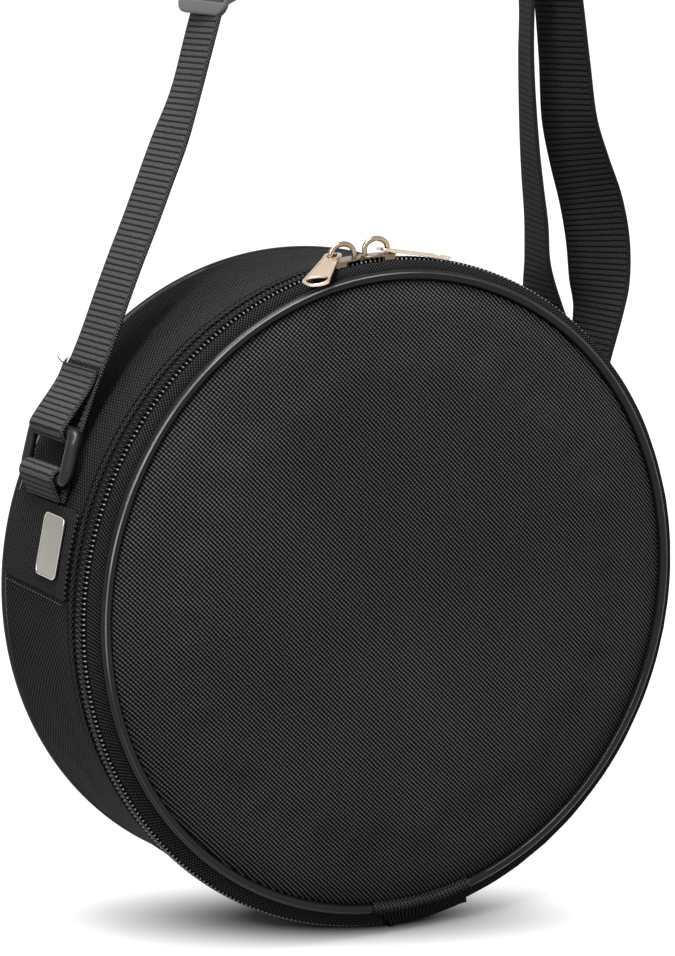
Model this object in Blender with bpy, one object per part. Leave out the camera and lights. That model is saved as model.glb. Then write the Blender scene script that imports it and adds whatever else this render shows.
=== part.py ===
"""Padded round bag for a small frame drum, hanging from its shoulder strap.

The bag's disc faces -Y. Its zip runs round the rim, so the front panel opens as a lid
on a fabric hinge at the bottom. The strap is one long webbing. Its end is sewn round the
left ring, it passes the adjuster, goes over the top, turns in the right ring, and comes
back to the adjuster, where its other end is sewn. The strap's highest point, where a
peg or a shoulder carries it, is the frame's origin.
"""

import math

import bmesh
import bpy
from mathutils import Matrix, Vector

# Driving dimensions, in metres and degrees
clearance = 0.0003
disc_radius = 0.1075
bag_depth = 0.0743
piping_diameter = 0.0035

# Fabric, padding and lining
fabric_thickness = 0.0005
foam_thickness = 0.003
panel_foam_thickness = 0.004
lining_thickness = 0.0004
panel_rim_inset = 0.0021
dome_height = 0.0052
rear_panel_rise = 0.0027
rear_flat_inset = 0.0195
binding_width = 0.0021
binding_height = 0.0018

# Zip, with the chain's front edge measured back from the front piping
zip_front = 0.0053
coil_width = 0.0026
coil_height = 0.0015
coil_parting = 0.0011
zip_rise = 0.0051
tape_thickness = 0.0006
tape_width = 0.0105
gusset_edge = 0.0150
lid_edge_gap = 0.0012

# Fabric hinge at the bottom, where the zip stops on both sides
hinge_angle = 277.6
hinge_span = 15.2
hinge_thickness = 0.0008
hinge_reach = 0.0185

# Side tabs, webbing and rings
webbing_width = 0.025
webbing_thickness = 0.0013
tab_thickness = 0.0009
tab_low_angle = 176.1
tab_high_angle = 161.4
tab_front = 0.0196
badge_width = 0.0168
badge_height = 0.0205
badge_thickness = 0.0008
badge_corner = 0.0026
badge_angle = 168.2
badge_setback = 0.0368
strap_setback = 0.0465
ring_bar_diameter = 0.0046
ring_inner_width = 0.0268
ring_inner_height = 0.0108
ring_corner = 0.0033
ring_angle = 157.4
ring_lean = 14.7
loop_extra_turn = 34.0

# Strap route, as shares of the disc's radius from the disc's centre, in the strap's plane
left_strand_shares = [(-0.80, 0.815), (-0.755, 0.925), (-0.706, 1.041), (-0.653, 1.159),
                      (-0.603, 1.277), (-0.553, 1.395)]
over_shares = [(-0.245, 2.42), (-0.205, 2.70), (-0.175, 2.95), (-0.135, 3.17), (-0.072, 3.295),
               (0.0, 3.335), (0.11, 3.29), (0.25, 3.14), (0.41, 2.90)]
inner_strand_shares = [(0.56, 2.58), (0.665, 2.25), (0.715, 1.95), (0.722, 1.786), (0.722, 1.596),
                       (0.737, 1.341), (0.75, 1.213), (0.766, 1.083), (0.773, 0.953), (0.80, 0.80)]
outer_strand_shares = [(0.60, 2.60), (0.745, 2.27), (0.82, 1.95), (0.843, 1.783), (0.867, 1.593),
                       (0.890, 1.399), (0.929, 1.269), (0.976, 1.137), (1.005, 1.005),
                       (1.013, 0.873), (1.010, 0.775)]
inner_strand_turns = [0, 5, 14, 22, 22, 19, 17, 15, 13, 0]
outer_strand_turns = [0, -2, -4, -8, -11, -17, -23, -29, -30, -24, -10]
apex_share = 3.335
strand_gap = 0.0006
length_gap = 0.0006
turn_extra_wrap = 25.0
fold_inside_share = 0.7
fold_outside_share = 1.15
fold_cut_share = 0.32

# Adjuster
adjuster_shares = (-0.39, 1.89)
adjuster_lean = 16.9
adjuster_height = 0.0245
adjuster_rail = 0.0032
adjuster_bar = 0.0045
adjuster_bar_thickness = 0.0022
adjuster_core = 0.0038
adjuster_core_thickness = 0.0020
adjuster_bevel = 0.0006
sewn_overlap = 0.020
adjuster_straight = 0.080
straight_shares = [-0.5, -0.25, 0.0, 0.25, 0.5]

# Zip sliders and pulls
left_slider_angle = 98.3
slider_length = 0.0118
slider_nose_gap = 0.00058
slider_plate = 0.0010
slider_under_plate = 0.0009
slider_under_inset = 0.0006
slider_flange = 0.0006
slider_neck = 0.0005
slider_neck_length = 0.0030
slider_running_gap = 0.0004
slider_nose_share = 0.55
slider_tail_share = 0.85
slider_taper_share = 0.2
bail_wire = 0.0013
bail_half_length = 0.0043
bail_height = 0.0032
bail_leg = 0.0015
pull_length = 0.0265
pull_end_width = 0.0090
pull_eye_width = 0.0058
pull_thickness = 0.0010
pull_eye_length = 0.0031
pull_eye_gap = 0.0034
pull_rim = 0.0012
pull_hole_length = 0.0042
pull_nose_share = 0.7
pull_bend_share = 0.75
pull_hole_straight_share = 0.2
right_pull_drop = 9.2
left_pull_drop = 2.5
left_pull_slant = 44.0
left_pull_dip = 8.0
left_pull_roll = 4.0

# Mesh fineness
ring_steps = 54
wire_sides = 8
strap_substeps = 3
merge_distance = 1e-6
cut_overrun = 0.002

# Places that follow from the sizes above
piping_radius = piping_diameter / 2
strap_rise = apex_share * disc_radius - webbing_thickness / 2
bag_origin = Vector((0, -strap_setback, -strap_rise))
coil_outer = disc_radius + zip_rise
coil_inner = coil_outer - coil_height
tape_outer = coil_inner - clearance / 2
tape_inner = tape_outer - tape_thickness
lid_coil = (zip_front, zip_front + coil_width)
body_coil = (lid_coil[1] + coil_parting, lid_coil[1] + coil_parting + coil_width)
chain_middle = (lid_coil[1] + body_coil[0]) / 2
right_slider_angle = left_slider_angle - math.degrees((slider_length + slider_nose_gap) / coil_outer)
panel_rim = disc_radius - panel_rim_inset
tab_outside = clearance + tab_thickness
bar_radius = ring_bar_diameter / 2
ring_half_height = (ring_inner_height + ring_bar_diameter) / 2
wrap_radius = bar_radius + clearance + webbing_thickness / 2
layer_pitch = webbing_thickness + clearance

# Lid gusset's line, from the piping to the zip: shares of its depth and of its rise
lid_gusset_depth_shares = [0.0, 0.28, 0.80, 1.0]
lid_gusset_rise_shares = [0.0, 0.58, 0.985, 1.0]

# Body gusset's outer radius: shares of the bag's depth, and of the radius over the disc's
gusset_depth_shares = [0.0, 0.32, 1.0]
gusset_rise_shares = [0.84, 0.52, 0.22]
gusset_rear = bag_depth - piping_radius - clearance

MATERIALS = {
    "fabric": ((0.018, 0.018, 0.019), 0.85, 0.0),
    "piping": ((0.010, 0.010, 0.011), 0.25, 0.0),
    "foam": ((0.10, 0.10, 0.11), 0.9, 0.0),
    "lining": ((0.03, 0.03, 0.032), 0.7, 0.0),
    "zip": ((0.012, 0.012, 0.013), 0.4, 0.0),
    "webbing": ((0.03, 0.03, 0.032), 0.6, 0.0),
    "plastic": ((0.012, 0.012, 0.013), 0.3, 0.0),
    "gold": ((0.80, 0.60, 0.42), 0.25, 1.0),
    "badge": ((0.70, 0.67, 0.62), 0.35, 1.0),
}


def clear_scene():
    for existing in list(bpy.data.objects):
        bpy.data.objects.remove(existing, do_unlink=True)


def material(name):
    """The Principled material of that name, made once."""
    found = bpy.data.materials.get(name)
    if found:
        return found
    colour, roughness, metallic = MATERIALS[name]
    made = bpy.data.materials.new(name)
    made.use_nodes = True
    shader = made.node_tree.nodes["Principled BSDF"]
    shader.inputs["Base Color"].default_value = (*colour, 1)
    shader.inputs["Roughness"].default_value = roughness
    shader.inputs["Metallic"].default_value = metallic
    return made


def finish_object(obj, look, parent, smooth_angle=40):
    """Give a new object its material, its shading and its place under a joint's empty."""
    bpy.context.collection.objects.link(obj)
    obj.data.materials.append(material(look))
    if obj.type == "MESH":
        obj.data.shade_smooth()
        obj.data.set_sharp_from_angle(angle=math.radians(smooth_angle))
    if parent is not None:
        obj.parent = parent
        obj.matrix_parent_inverse = parent.matrix_world.inverted()
    return obj


def object_from(bm, name, look, parent, place=None):
    bmesh.ops.recalc_face_normals(bm, faces=bm.faces)
    mesh = bpy.data.meshes.new(name)
    bm.to_mesh(mesh)
    bm.free()
    obj = bpy.data.objects.new(name, mesh)
    obj.matrix_world = place if place is not None else Matrix.Translation(bag_origin)
    return finish_object(obj, look, parent)


def axis_empty(name, position, parent=None):
    """An empty on a joint's axis."""
    empty = bpy.data.objects.new(name, None)
    empty.location = position
    bpy.context.collection.objects.link(empty)
    if parent is not None:
        empty.parent = parent
        empty.matrix_parent_inverse = parent.matrix_world.inverted()
    bpy.context.view_layer.update()
    return empty


def revolve(name, profile, look, parent, start=0.0, sweep=360.0):
    """Spin a closed (y, radius) profile about the disc's axis."""
    bm = bmesh.new()
    start_turn = Matrix.Rotation(math.radians(start), 3, (0, -1, 0))
    verts = [bm.verts.new(start_turn @ Vector((radius, y, 0))) for y, radius in profile]
    edges = [bm.edges.new((a, b)) for a, b in zip(verts, verts[1:] + verts[:1])]
    whole = sweep >= 360
    bmesh.ops.spin(bm, geom=verts + edges, cent=(0, 0, 0), axis=(0, -1, 0), angle=math.radians(sweep),
                   steps=max(4, round(ring_steps * sweep / 360)), use_merge=whole)
    bmesh.ops.remove_doubles(bm, verts=bm.verts, dist=merge_distance)
    if not whole:
        ends = [edge for edge in bm.edges if edge.is_boundary]
        bmesh.ops.holes_fill(bm, edges=ends, sides=0)
    return object_from(bm, name, look, parent)


def disc(name, front, back, look, parent):
    """A thin round panel between two (y, radius) lines that both run from the axis to the rim."""
    bm = bmesh.new()
    line = front + back[::-1]
    verts = [bm.verts.new((radius, y, 0)) for y, radius in line]
    edges = [bm.edges.new(pair) for pair in zip(verts, verts[1:])]
    bmesh.ops.spin(bm, geom=verts + edges, cent=(0, 0, 0), axis=(0, -1, 0), angle=math.tau,
                   steps=ring_steps, use_merge=True)
    bmesh.ops.remove_doubles(bm, verts=bm.verts, dist=merge_distance)
    return object_from(bm, name, look, parent)


def inset_line(line, depth):
    """A (y, radius) line moved towards the axis, square to itself."""
    inner = []
    for index, point in enumerate(line):
        before = Vector(line[max(index - 1, 0)])
        after = Vector(line[min(index + 1, len(line) - 1)])
        along = (after - before).normalized()
        inward = Vector((along.y, -along.x))
        inner.append(tuple(Vector(point) + inward * depth))
    return inner


def thick_line(line, thickness):
    """Close a (y, radius) line into a band profile of that thickness, towards the axis."""
    return list(line) + inset_line(line, thickness)[::-1]


def circle_profile(y, radius, wire):
    count = 8
    turns = [math.tau * step / count for step in range(count)]
    return [(y + wire * math.cos(turn), radius + wire * math.sin(turn)) for turn in turns]


def polar(radius, angle, y=0.0):
    """A point on a circle round the disc's axis, the angle running from +X towards +Z."""
    turn = math.radians(angle)
    return Vector((radius * math.cos(turn), y, radius * math.sin(turn)))


def tangent_frame(radius, angle, y):
    """Local x along the rim towards +X, y to the rear, z outwards, in the frame's coordinates."""
    out = polar(1, angle)
    along = Vector((out.z, 0, -out.x))
    frame = Matrix((along, Vector((0, 1, 0)), out)).transposed().to_4x4()
    return Matrix.Translation(bag_origin + polar(radius, angle, y)) @ frame


def box(bm, low, high):
    size = Vector(high) - Vector(low)
    middle = (Vector(high) + Vector(low)) / 2
    place = Matrix.Translation(middle) @ Matrix.Diagonal((*size, 1))
    bmesh.ops.create_cube(bm, size=1, matrix=place)


def prism(bm, outline, low, high):
    """Extrude an (x, y) outline from low to high along z."""
    verts = [bm.verts.new((x, y, low)) for x, y in outline]
    face = bm.faces.new(verts)
    raised = bmesh.ops.extrude_face_region(bm, geom=[face])["geom"]
    moved = [item for item in raised if isinstance(item, bmesh.types.BMVert)]
    bmesh.ops.translate(bm, verts=moved, vec=(0, 0, high - low))


def rounded_outline(half_x, half_y, corner, steps=5):
    points = []
    for centre_x, centre_y, first in ((1, 1, 0), (-1, 1, 90), (-1, -1, 180), (1, -1, 270)):
        for step in range(steps + 1):
            turn = math.radians(first + 90 * step / steps)
            points.append((centre_x * (half_x - corner) + corner * math.cos(turn),
                           centre_y * (half_y - corner) + corner * math.sin(turn)))
    return points


def boolean(obj, other, operation):
    """Cut or join with another mesh, which stays in the file as a hidden guide."""
    other.hide_render = True
    other.display_type = "WIRE"
    change = obj.modifiers.new(operation.title(), "BOOLEAN")
    change.operation = operation
    change.solver = "EXACT"
    change.object = other


def helper_from(bm, name, place, parent):
    return object_from(bm, name, "plastic", parent, place)


def line_at(places, values, place):
    """The value at a place on a line of straight runs, whose places rise."""
    for near, far, low, high in zip(places, places[1:], values, values[1:]):
        if place <= far:
            return low + (high - low) * (place - near) / (far - near)
    return values[-1]


def gusset_line(inset, front, rear):
    """The body gusset's (y, radius) line between two depths, inset from its outer face."""
    depths = [gusset_edge + share * (gusset_rear - gusset_edge) for share in gusset_depth_shares]
    radii = [disc_radius + share * zip_rise for share in gusset_rise_shares]

    inside = [y for y in depths if front < y < rear]
    return [(y, line_at(depths, radii, y) - inset) for y in [front, *inside, rear]]


def build_front_panel(lid):
    """Domed fabric over foam, with a lining inside."""
    dome_radius_shares = [0.0, 0.80, 0.93, 1.0]
    dome_rise_shares = [1.0, 0.95, 0.64, 0.0]
    radii = [share * panel_rim for share in dome_radius_shares]
    heights = [share * dome_height for share in dome_rise_shares]

    def face(inset, reach):
        rim = min(reach, panel_rim)
        inside = [radius for radius in radii if radius < rim]
        return [(inset - line_at(radii, heights, radius), radius) for radius in [*inside, rim]]

    fabric_back = fabric_thickness
    disc("front_panel_fabric", face(0, disc_radius), face(fabric_back, disc_radius), "fabric", lid)
    foam_front = fabric_back + clearance
    foam_rim = panel_rim - binding_width - clearance
    foam_back = foam_front + panel_foam_thickness
    disc("front_panel_foam", face(foam_front, foam_rim), face(foam_back, foam_rim), "foam", lid)
    lining_front = foam_back + clearance
    lining_back = lining_front + lining_thickness
    disc("front_panel_lining", face(lining_front, foam_rim), face(lining_back, foam_rim), "lining", lid)


def build_rear_panel(body):
    """Padded rear panel with a flat middle, on which the bag can lie."""
    flat = disc_radius - rear_flat_inset
    rear = bag_depth + rear_panel_rise

    def face(inset, reach):
        rim = min(reach, panel_rim)
        edge = line_at([flat, panel_rim], [rear, bag_depth], rim)
        return [(rear - inset, 0), (rear - inset, flat), (edge - inset, rim)]

    disc("rear_panel_fabric", face(0, disc_radius), face(fabric_thickness, disc_radius), "fabric", body)
    foam_rim = panel_rim - binding_width - clearance
    foam_top = fabric_thickness + clearance
    foam_bottom = foam_top + panel_foam_thickness
    disc("rear_panel_foam", face(foam_top, foam_rim), face(foam_bottom, foam_rim), "foam", body)
    lining_top = foam_bottom + clearance
    lining_bottom = lining_top + lining_thickness
    disc("rear_panel_lining", face(lining_top, foam_rim), face(lining_bottom, foam_rim), "lining", body)


def build_pipings(lid, body):
    revolve("front_piping", circle_profile(0, disc_radius, piping_radius), "piping", lid)
    revolve("rear_piping", circle_profile(bag_depth, disc_radius, piping_radius), "piping", body)


def build_bindings(lid, body):
    """Tape over the raw seam edges inside, next to each panel."""
    outer = panel_rim - clearance
    inner = outer - binding_height
    front = fabric_thickness + clearance
    for name, low, parent in (("front_seam_binding", front, lid),
                              ("rear_seam_binding", bag_depth - front - binding_width, body)):
        profile = [(low, inner), (low, outer), (low + binding_width, outer), (low + binding_width, inner)]
        revolve(name, profile, "lining", parent)


def lid_gusset_line():
    """The narrow strip's (y, radius) line, which swells from the piping out to the zip."""
    edge = lid_coil[0] - lid_edge_gap
    start = piping_radius + clearance
    low = disc_radius - clearance
    rise = tape_outer + fabric_thickness + clearance - low
    return [(start + (edge - start) * along, low + rise * up)
            for along, up in zip(lid_gusset_depth_shares, lid_gusset_rise_shares)]


def build_lid_gusset(lid):
    revolve("lid_gusset_fabric", thick_line(lid_gusset_line(), fabric_thickness), "fabric", lid)


def zip_arc(name, profile, look, parent):
    """A zip part, which runs all the way round but for the fabric hinge."""
    start = hinge_angle + hinge_span / 2
    revolve(name, profile, look, parent, start, 360 - hinge_span)


def build_zip(lid, body):
    for name, span, parent in (("lid_zip_coil", lid_coil, lid), ("body_zip_coil", body_coil, body)):
        low, high = span
        slope = coil_height / 3
        profile = [(low, coil_inner), (low, coil_outer - slope), (low + slope, coil_outer),
                   (high - slope, coil_outer), (high, coil_outer - slope), (high, coil_inner)]
        zip_arc(name, profile, "zip", parent)
    under_gusset = inset_line(lid_gusset_line(), fabric_thickness + clearance)[:-1]
    lid_line = [*under_gusset, (lid_coil[0] - lid_edge_gap / 2, tape_outer), (lid_coil[1], tape_outer)]
    zip_arc("lid_zip_tape", thick_line(lid_line, tape_thickness), "zip", lid)
    rear = body_coil[0] + tape_width
    body_line = [(body_coil[0], tape_outer), (gusset_edge - clearance, tape_outer),
                 (rear, tape_outer - tape_thickness - clearance)]
    zip_arc("body_zip_tape", thick_line(body_line, tape_thickness), "zip", body)


def build_body_gusset(body):
    fabric_line = gusset_line(0, gusset_edge, gusset_rear)
    revolve("body_gusset_fabric", thick_line(fabric_line, fabric_thickness), "fabric", body)
    foam_front = body_coil[0] + tape_width + clearance
    foam_rear = bag_depth - panel_foam_thickness - 2 * fabric_thickness
    foam_inset = fabric_thickness + clearance
    foam_line = gusset_line(foam_inset, foam_front, foam_rear)
    revolve("body_gusset_foam", thick_line(foam_line, foam_thickness), "foam", body)
    lining_inset = foam_inset + foam_thickness + clearance
    lining_line = gusset_line(lining_inset, foam_front, foam_rear)
    revolve("body_gusset_lining", thick_line(lining_line, lining_thickness), "lining", body)


def build_hinge_patch(body):
    """The fabric strip that joins lid and body at the bottom, bound over the piping."""
    skin = piping_radius + clearance
    top = coil_outer + clearance
    over_edge = gusset_line(-clearance, gusset_edge, gusset_rear)[0][1]
    outside = skin + hinge_thickness
    over_piping = [(-outside * math.cos(turn), disc_radius + outside * math.sin(turn))
                   for turn in (0, math.pi / 6, math.pi / 3, math.pi / 2)]
    line = [(-outside, disc_radius - piping_radius), *over_piping,
            (lid_coil[0], top + hinge_thickness), (body_coil[1], top + hinge_thickness),
            (gusset_edge, max(over_edge, top) + hinge_thickness),
            (hinge_reach, over_edge + hinge_thickness)]
    revolve("hinge_patch", thick_line(line, hinge_thickness), "fabric", body,
            hinge_angle - hinge_span / 2, hinge_span)


def mirrored(angle, side):
    """The angle itself on the left, at side -1, or its mirror image on the right."""
    return angle if side < 0 else 180 - angle


def gusset_radius_near_strap():
    line = gusset_line(0, strap_setback - webbing_width / 2, strap_setback + webbing_width / 2)
    return max(radius for _, radius in line)


def ring_bars(side):
    """The lower and upper bar's centres and the ring's up direction, from the disc's centre."""
    radius = gusset_radius_near_strap() + clearance + webbing_thickness + clearance + bar_radius
    lower = polar(radius, mirrored(ring_angle, side), strap_setback)
    lean = math.radians(ring_lean)
    up = Vector((-side * math.sin(lean), 0, math.cos(lean)))
    return lower, lower + up * 2 * ring_half_height, up


def build_tab(side, name, body):
    low, high = sorted((mirrored(tab_low_angle, side), mirrored(tab_high_angle, side)))
    line = gusset_line(-tab_outside, tab_front, gusset_rear - clearance)
    revolve(name, thick_line(line, tab_thickness), "fabric", body, low, high - low)


def build_badge(body):
    """Bare metal plate that lies on the left tab."""
    half_width = badge_width / 2
    under = gusset_line(-tab_outside, badge_setback - half_width, badge_setback + half_width)
    front, rear = Vector(under[0]), Vector(under[-1])
    slope = math.atan2(rear.y - front.y, rear.x - front.x)
    bm = bmesh.new()
    prism(bm, rounded_outline(badge_height / 2, half_width, badge_corner), 0, badge_thickness)
    seat = tangent_frame((front.y + rear.y) / 2 + clearance, badge_angle, badge_setback)
    object_from(bm, "badge_plate", "badge", body, seat @ Matrix.Rotation(slope, 4, "X"))


def strip(name, points, turns, look, parent):
    """A flat webbing along (x, z) points in the strap's plane, turned about its own line."""
    bm = bmesh.new()
    loops = []
    half_width = webbing_width / 2
    half_thickness = webbing_thickness / 2
    for index, point in enumerate(points):
        before = points[max(index - 1, 0)]
        after = points[min(index + 1, len(points) - 1)]
        along = Vector((after[0] - before[0], 0, after[1] - before[1])).normalized()
        inward = Vector((along.z, 0, -along.x))
        turn = math.radians(turns[index])
        across = Vector((0, 1, 0)) * math.cos(turn) + inward * math.sin(turn)
        normal = along.cross(across)
        centre = Vector((point[0], strap_setback, point[1]))
        corners = [centre + across * (half_width * a) + normal * (half_thickness * b)
                   for a, b in ((-1, -1), (1, -1), (1, 1), (-1, 1))]
        loops.append([bm.verts.new(corner) for corner in corners])
    for first, second in zip(loops, loops[1:]):
        for corner in range(4):
            following = (corner + 1) % 4
            bm.faces.new((first[corner], first[following], second[following], second[corner]))
    bm.faces.new(loops[0])
    bm.faces.new(loops[-1])
    return object_from(bm, name, look, parent)


def smooth(points, turns):
    """A centripetal Catmull-Rom line through the points, with their turns, as two lists."""
    keys = [Vector((*point, turn)) for point, turn in zip(points, turns)]
    gaps = [math.sqrt((b.xy - a.xy).length) for a, b in zip(keys, keys[1:])]
    slopes = [(b - a) / gap for a, b, gap in zip(keys, keys[1:], gaps)]
    tangents = [slopes[0]]
    for before, after, gap, next_gap in zip(slopes, slopes[1:], gaps, gaps[1:]):
        tangents.append((before * next_gap + after * gap) / (gap + next_gap))
    tangents.append(slopes[-1])
    line = []
    for start, end, leave, arrive, gap in zip(keys, keys[1:], tangents, tangents[1:], gaps):
        for step in range(strap_substeps):
            t = step / strap_substeps
            line.append(start * (2 * t ** 3 - 3 * t * t + 1) + leave * gap * (t ** 3 - 2 * t * t + t)
                        + end * (3 * t * t - 2 * t ** 3) + arrive * gap * (t ** 3 - t * t))
    line.append(keys[-1])
    return [(key.x, key.y) for key in line], [key.z for key in line]


def arc(centre, start, end, radius, steps=8):
    """Points round a bar from one angle to another, in the strap's plane."""
    turns = [math.radians(start + (end - start) * step / steps) for step in range(steps + 1)]
    return [(centre[0] + radius * math.cos(turn), centre[1] + radius * math.sin(turn)) for turn in turns]


def beside(point, along, offset):
    """A point moved sideways, to the right of the way it runs."""
    return (point[0] + along[1] * offset, point[1] - along[0] * offset)


def shares_to_points(shares):
    return [(disc_radius * x, disc_radius * z) for x, z in shares]


def unit(first, second):
    step = Vector((second[0] - first[0], second[1] - first[1]))
    return tuple(step.normalized())


def offset_line(points, offset):
    """Each point moved sideways, to the left of the way the line runs."""
    moved = []
    for index, point in enumerate(points):
        along = unit(points[max(index - 1, 0)], points[min(index + 1, len(points) - 1)])
        moved.append(beside(point, along, -offset))
    return moved


def build_webbing_loop(side, name, body):
    """Short webbing loop that goes over the ring's lower bar, its ends at the tab's top edge."""
    lower, _, _ = ring_bars(side)
    tab_gap = math.degrees(clearance / disc_radius) * side
    leg_angle = mirrored(tab_high_angle, side) + tab_gap
    leg_radius = gusset_radius_near_strap() + clearance + webbing_thickness / 2
    inner_end = polar(leg_radius, leg_angle)
    outer_end = polar(leg_radius + layer_pitch, leg_angle)
    outward = mirrored(ring_angle, side)
    wrap = arc((lower.x, lower.z), outward + 180 * side, outward - loop_extra_turn * side, wrap_radius, 11)
    points = [(inner_end.x, inner_end.z), *wrap, (outer_end.x, outer_end.z)]
    strip(name, points, [0] * len(points), "webbing", body)


def build_ring(side, name, body):
    """Rounded rectangular ring of round bar, between the webbing loop and the strap."""
    lower, upper, up = ring_bars(side)
    middle = (lower + upper) / 2
    half_width = (ring_inner_width + ring_bar_diameter) / 2
    outline = rounded_outline(half_width, ring_half_height, ring_corner, 4)
    curve = bpy.data.curves.new(name, "CURVE")
    curve.dimensions = "3D"
    curve.bevel_depth = bar_radius
    curve.bevel_resolution = 2
    spline = curve.splines.new("POLY")
    spline.points.add(len(outline) - 1)
    for point, (across, height) in zip(spline.points, outline):
        point.co = (*(middle + Vector((0, across, 0)) + up * height), 1)
    spline.use_cyclic_u = True
    obj = bpy.data.objects.new(name, curve)
    obj.location = bag_origin
    finish_object(obj, "plastic", body)


def adjuster_frame():
    """The adjuster's centre and its up direction in the strap's plane."""
    lean = math.radians(adjuster_lean)
    centre = tuple(share * disc_radius for share in adjuster_shares)
    return centre, (math.sin(lean), math.cos(lean))


def along_adjuster(distance, offset=0.0):
    """A point beside the adjuster: distance up the strand, offset towards the loop's inside."""
    centre, up = adjuster_frame()
    point = (centre[0] + up[0] * distance, centre[1] + up[1] * distance)
    return beside(point, up, offset)


def build_strap(strap):
    """The one long webbing, as five lengths that meet end to end."""
    _, left_bar, left_up = ring_bars(-1)
    _, right_bar, right_up = ring_bars(1)
    left = (left_bar.x, left_bar.z)
    right = (right_bar.x, right_bar.z)
    strand_pitch = webbing_thickness + strand_gap
    straight = [share * adjuster_straight for share in straight_shares]

    # The sewn end round the left ring: outside layer, round the bar, inside layer
    left_points = shares_to_points(left_strand_shares)
    meet = left_points[0]
    rise = unit(left, meet)
    lean = math.degrees(math.atan2(left_up.z, left_up.x))
    halfway = ((left[0] + meet[0]) / 2, (left[1] + meet[1]) / 2)
    near = beside(halfway, rise, layer_pitch * fold_inside_share)
    middle_outside = beside(near, unit(near, left_points[1]), -layer_pitch * fold_outside_share)
    cut = tuple(Vector(near).lerp(Vector(meet), fold_cut_share))
    end_outside = beside(cut, unit(near, meet), -layer_pitch * fold_outside_share)
    wrap = arc(left, lean + 90, lean + 270, wrap_radius, 10)
    fold = [end_outside, middle_outside, *wrap, near, meet]
    fold, fold_turns = smooth(fold, [0] * len(fold))
    strip("strap_left_fold", fold, fold_turns, "webbing", strap)

    # The return strand, from the right ring's inner side over the top to the adjuster
    over = shares_to_points(over_shares)
    inner = shares_to_points(inner_strand_shares)[::-1]
    return_keys = inner + over[::-1] + [along_adjuster(distance, strand_pitch)
                                        for distance in straight[:2:-1]]
    return_turns = inner_strand_turns[::-1] + [0] * (len(return_keys) - len(inner))
    return_line, line_turns = smooth(return_keys, return_turns)
    strip("strap_return", return_line, line_turns, "webbing", strap)

    # The first strand, from the sewn end past the adjuster and down to the right ring
    outer = shares_to_points(outer_strand_shares)
    first_step = unit(left_points[0], left_points[1])
    start = (meet[0] + first_step[0] * length_gap, meet[1] + first_step[1] * length_gap)
    main_keys = [start, *left_points[1:], *[along_adjuster(distance) for distance in straight],
                 *offset_line(over, strand_pitch), *outer]
    main_turns = [0] * (len(main_keys) - len(outer)) + [-turn for turn in outer_strand_turns]
    main_line, line_turns = smooth(main_keys, main_turns)
    strip("strap_webbing", main_line, line_turns, "webbing", strap)

    # The turn round the right ring's upper bar
    lean = math.degrees(math.atan2(right_up.z, right_up.x))
    wrap = arc(right, lean - 90 + turn_extra_wrap, lean - 270, wrap_radius, 11)
    down = unit(outer[-2], outer[-1])
    top_outer = (outer[-1][0] + down[0] * length_gap, outer[-1][1] + down[1] * length_gap)
    rising = unit(inner[0], inner[1])
    top_inner = (inner[0][0] - rising[0] * length_gap, inner[0][1] - rising[1] * length_gap)
    turn_keys = [top_outer, *wrap, top_inner]
    turn_turns = [-outer_strand_turns[-1], *[0] * len(wrap), inner_strand_turns[-1]]
    turn_line, line_turns = smooth(turn_keys, turn_turns)
    strip("strap_right_turn", turn_line, line_turns, "webbing", strap)

    # The return strand's end, sewn round the adjuster's middle bar
    front = strand_pitch
    core_middle = front + webbing_thickness / 2 + clearance + adjuster_core_thickness / 2
    core_wrap = adjuster_core_thickness / 2 + clearance + webbing_thickness / 2
    back = core_middle + core_wrap
    low = -adjuster_core / 2
    bend = [(low - core_wrap * math.sin(math.radians(turn)),
             core_middle - core_wrap * math.cos(math.radians(turn))) for turn in range(0, 181, 30)]
    top = straight[3] - length_gap
    places = [(top, front), (top / 2, front), *bend, (-low, back),
              (adjuster_height / 2, front + layer_pitch), (sewn_overlap, front + layer_pitch)]
    fold = [along_adjuster(distance, offset) for distance, offset in places]
    strip("strap_adjuster_fold", fold, [0] * len(fold), "webbing", strap)


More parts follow.
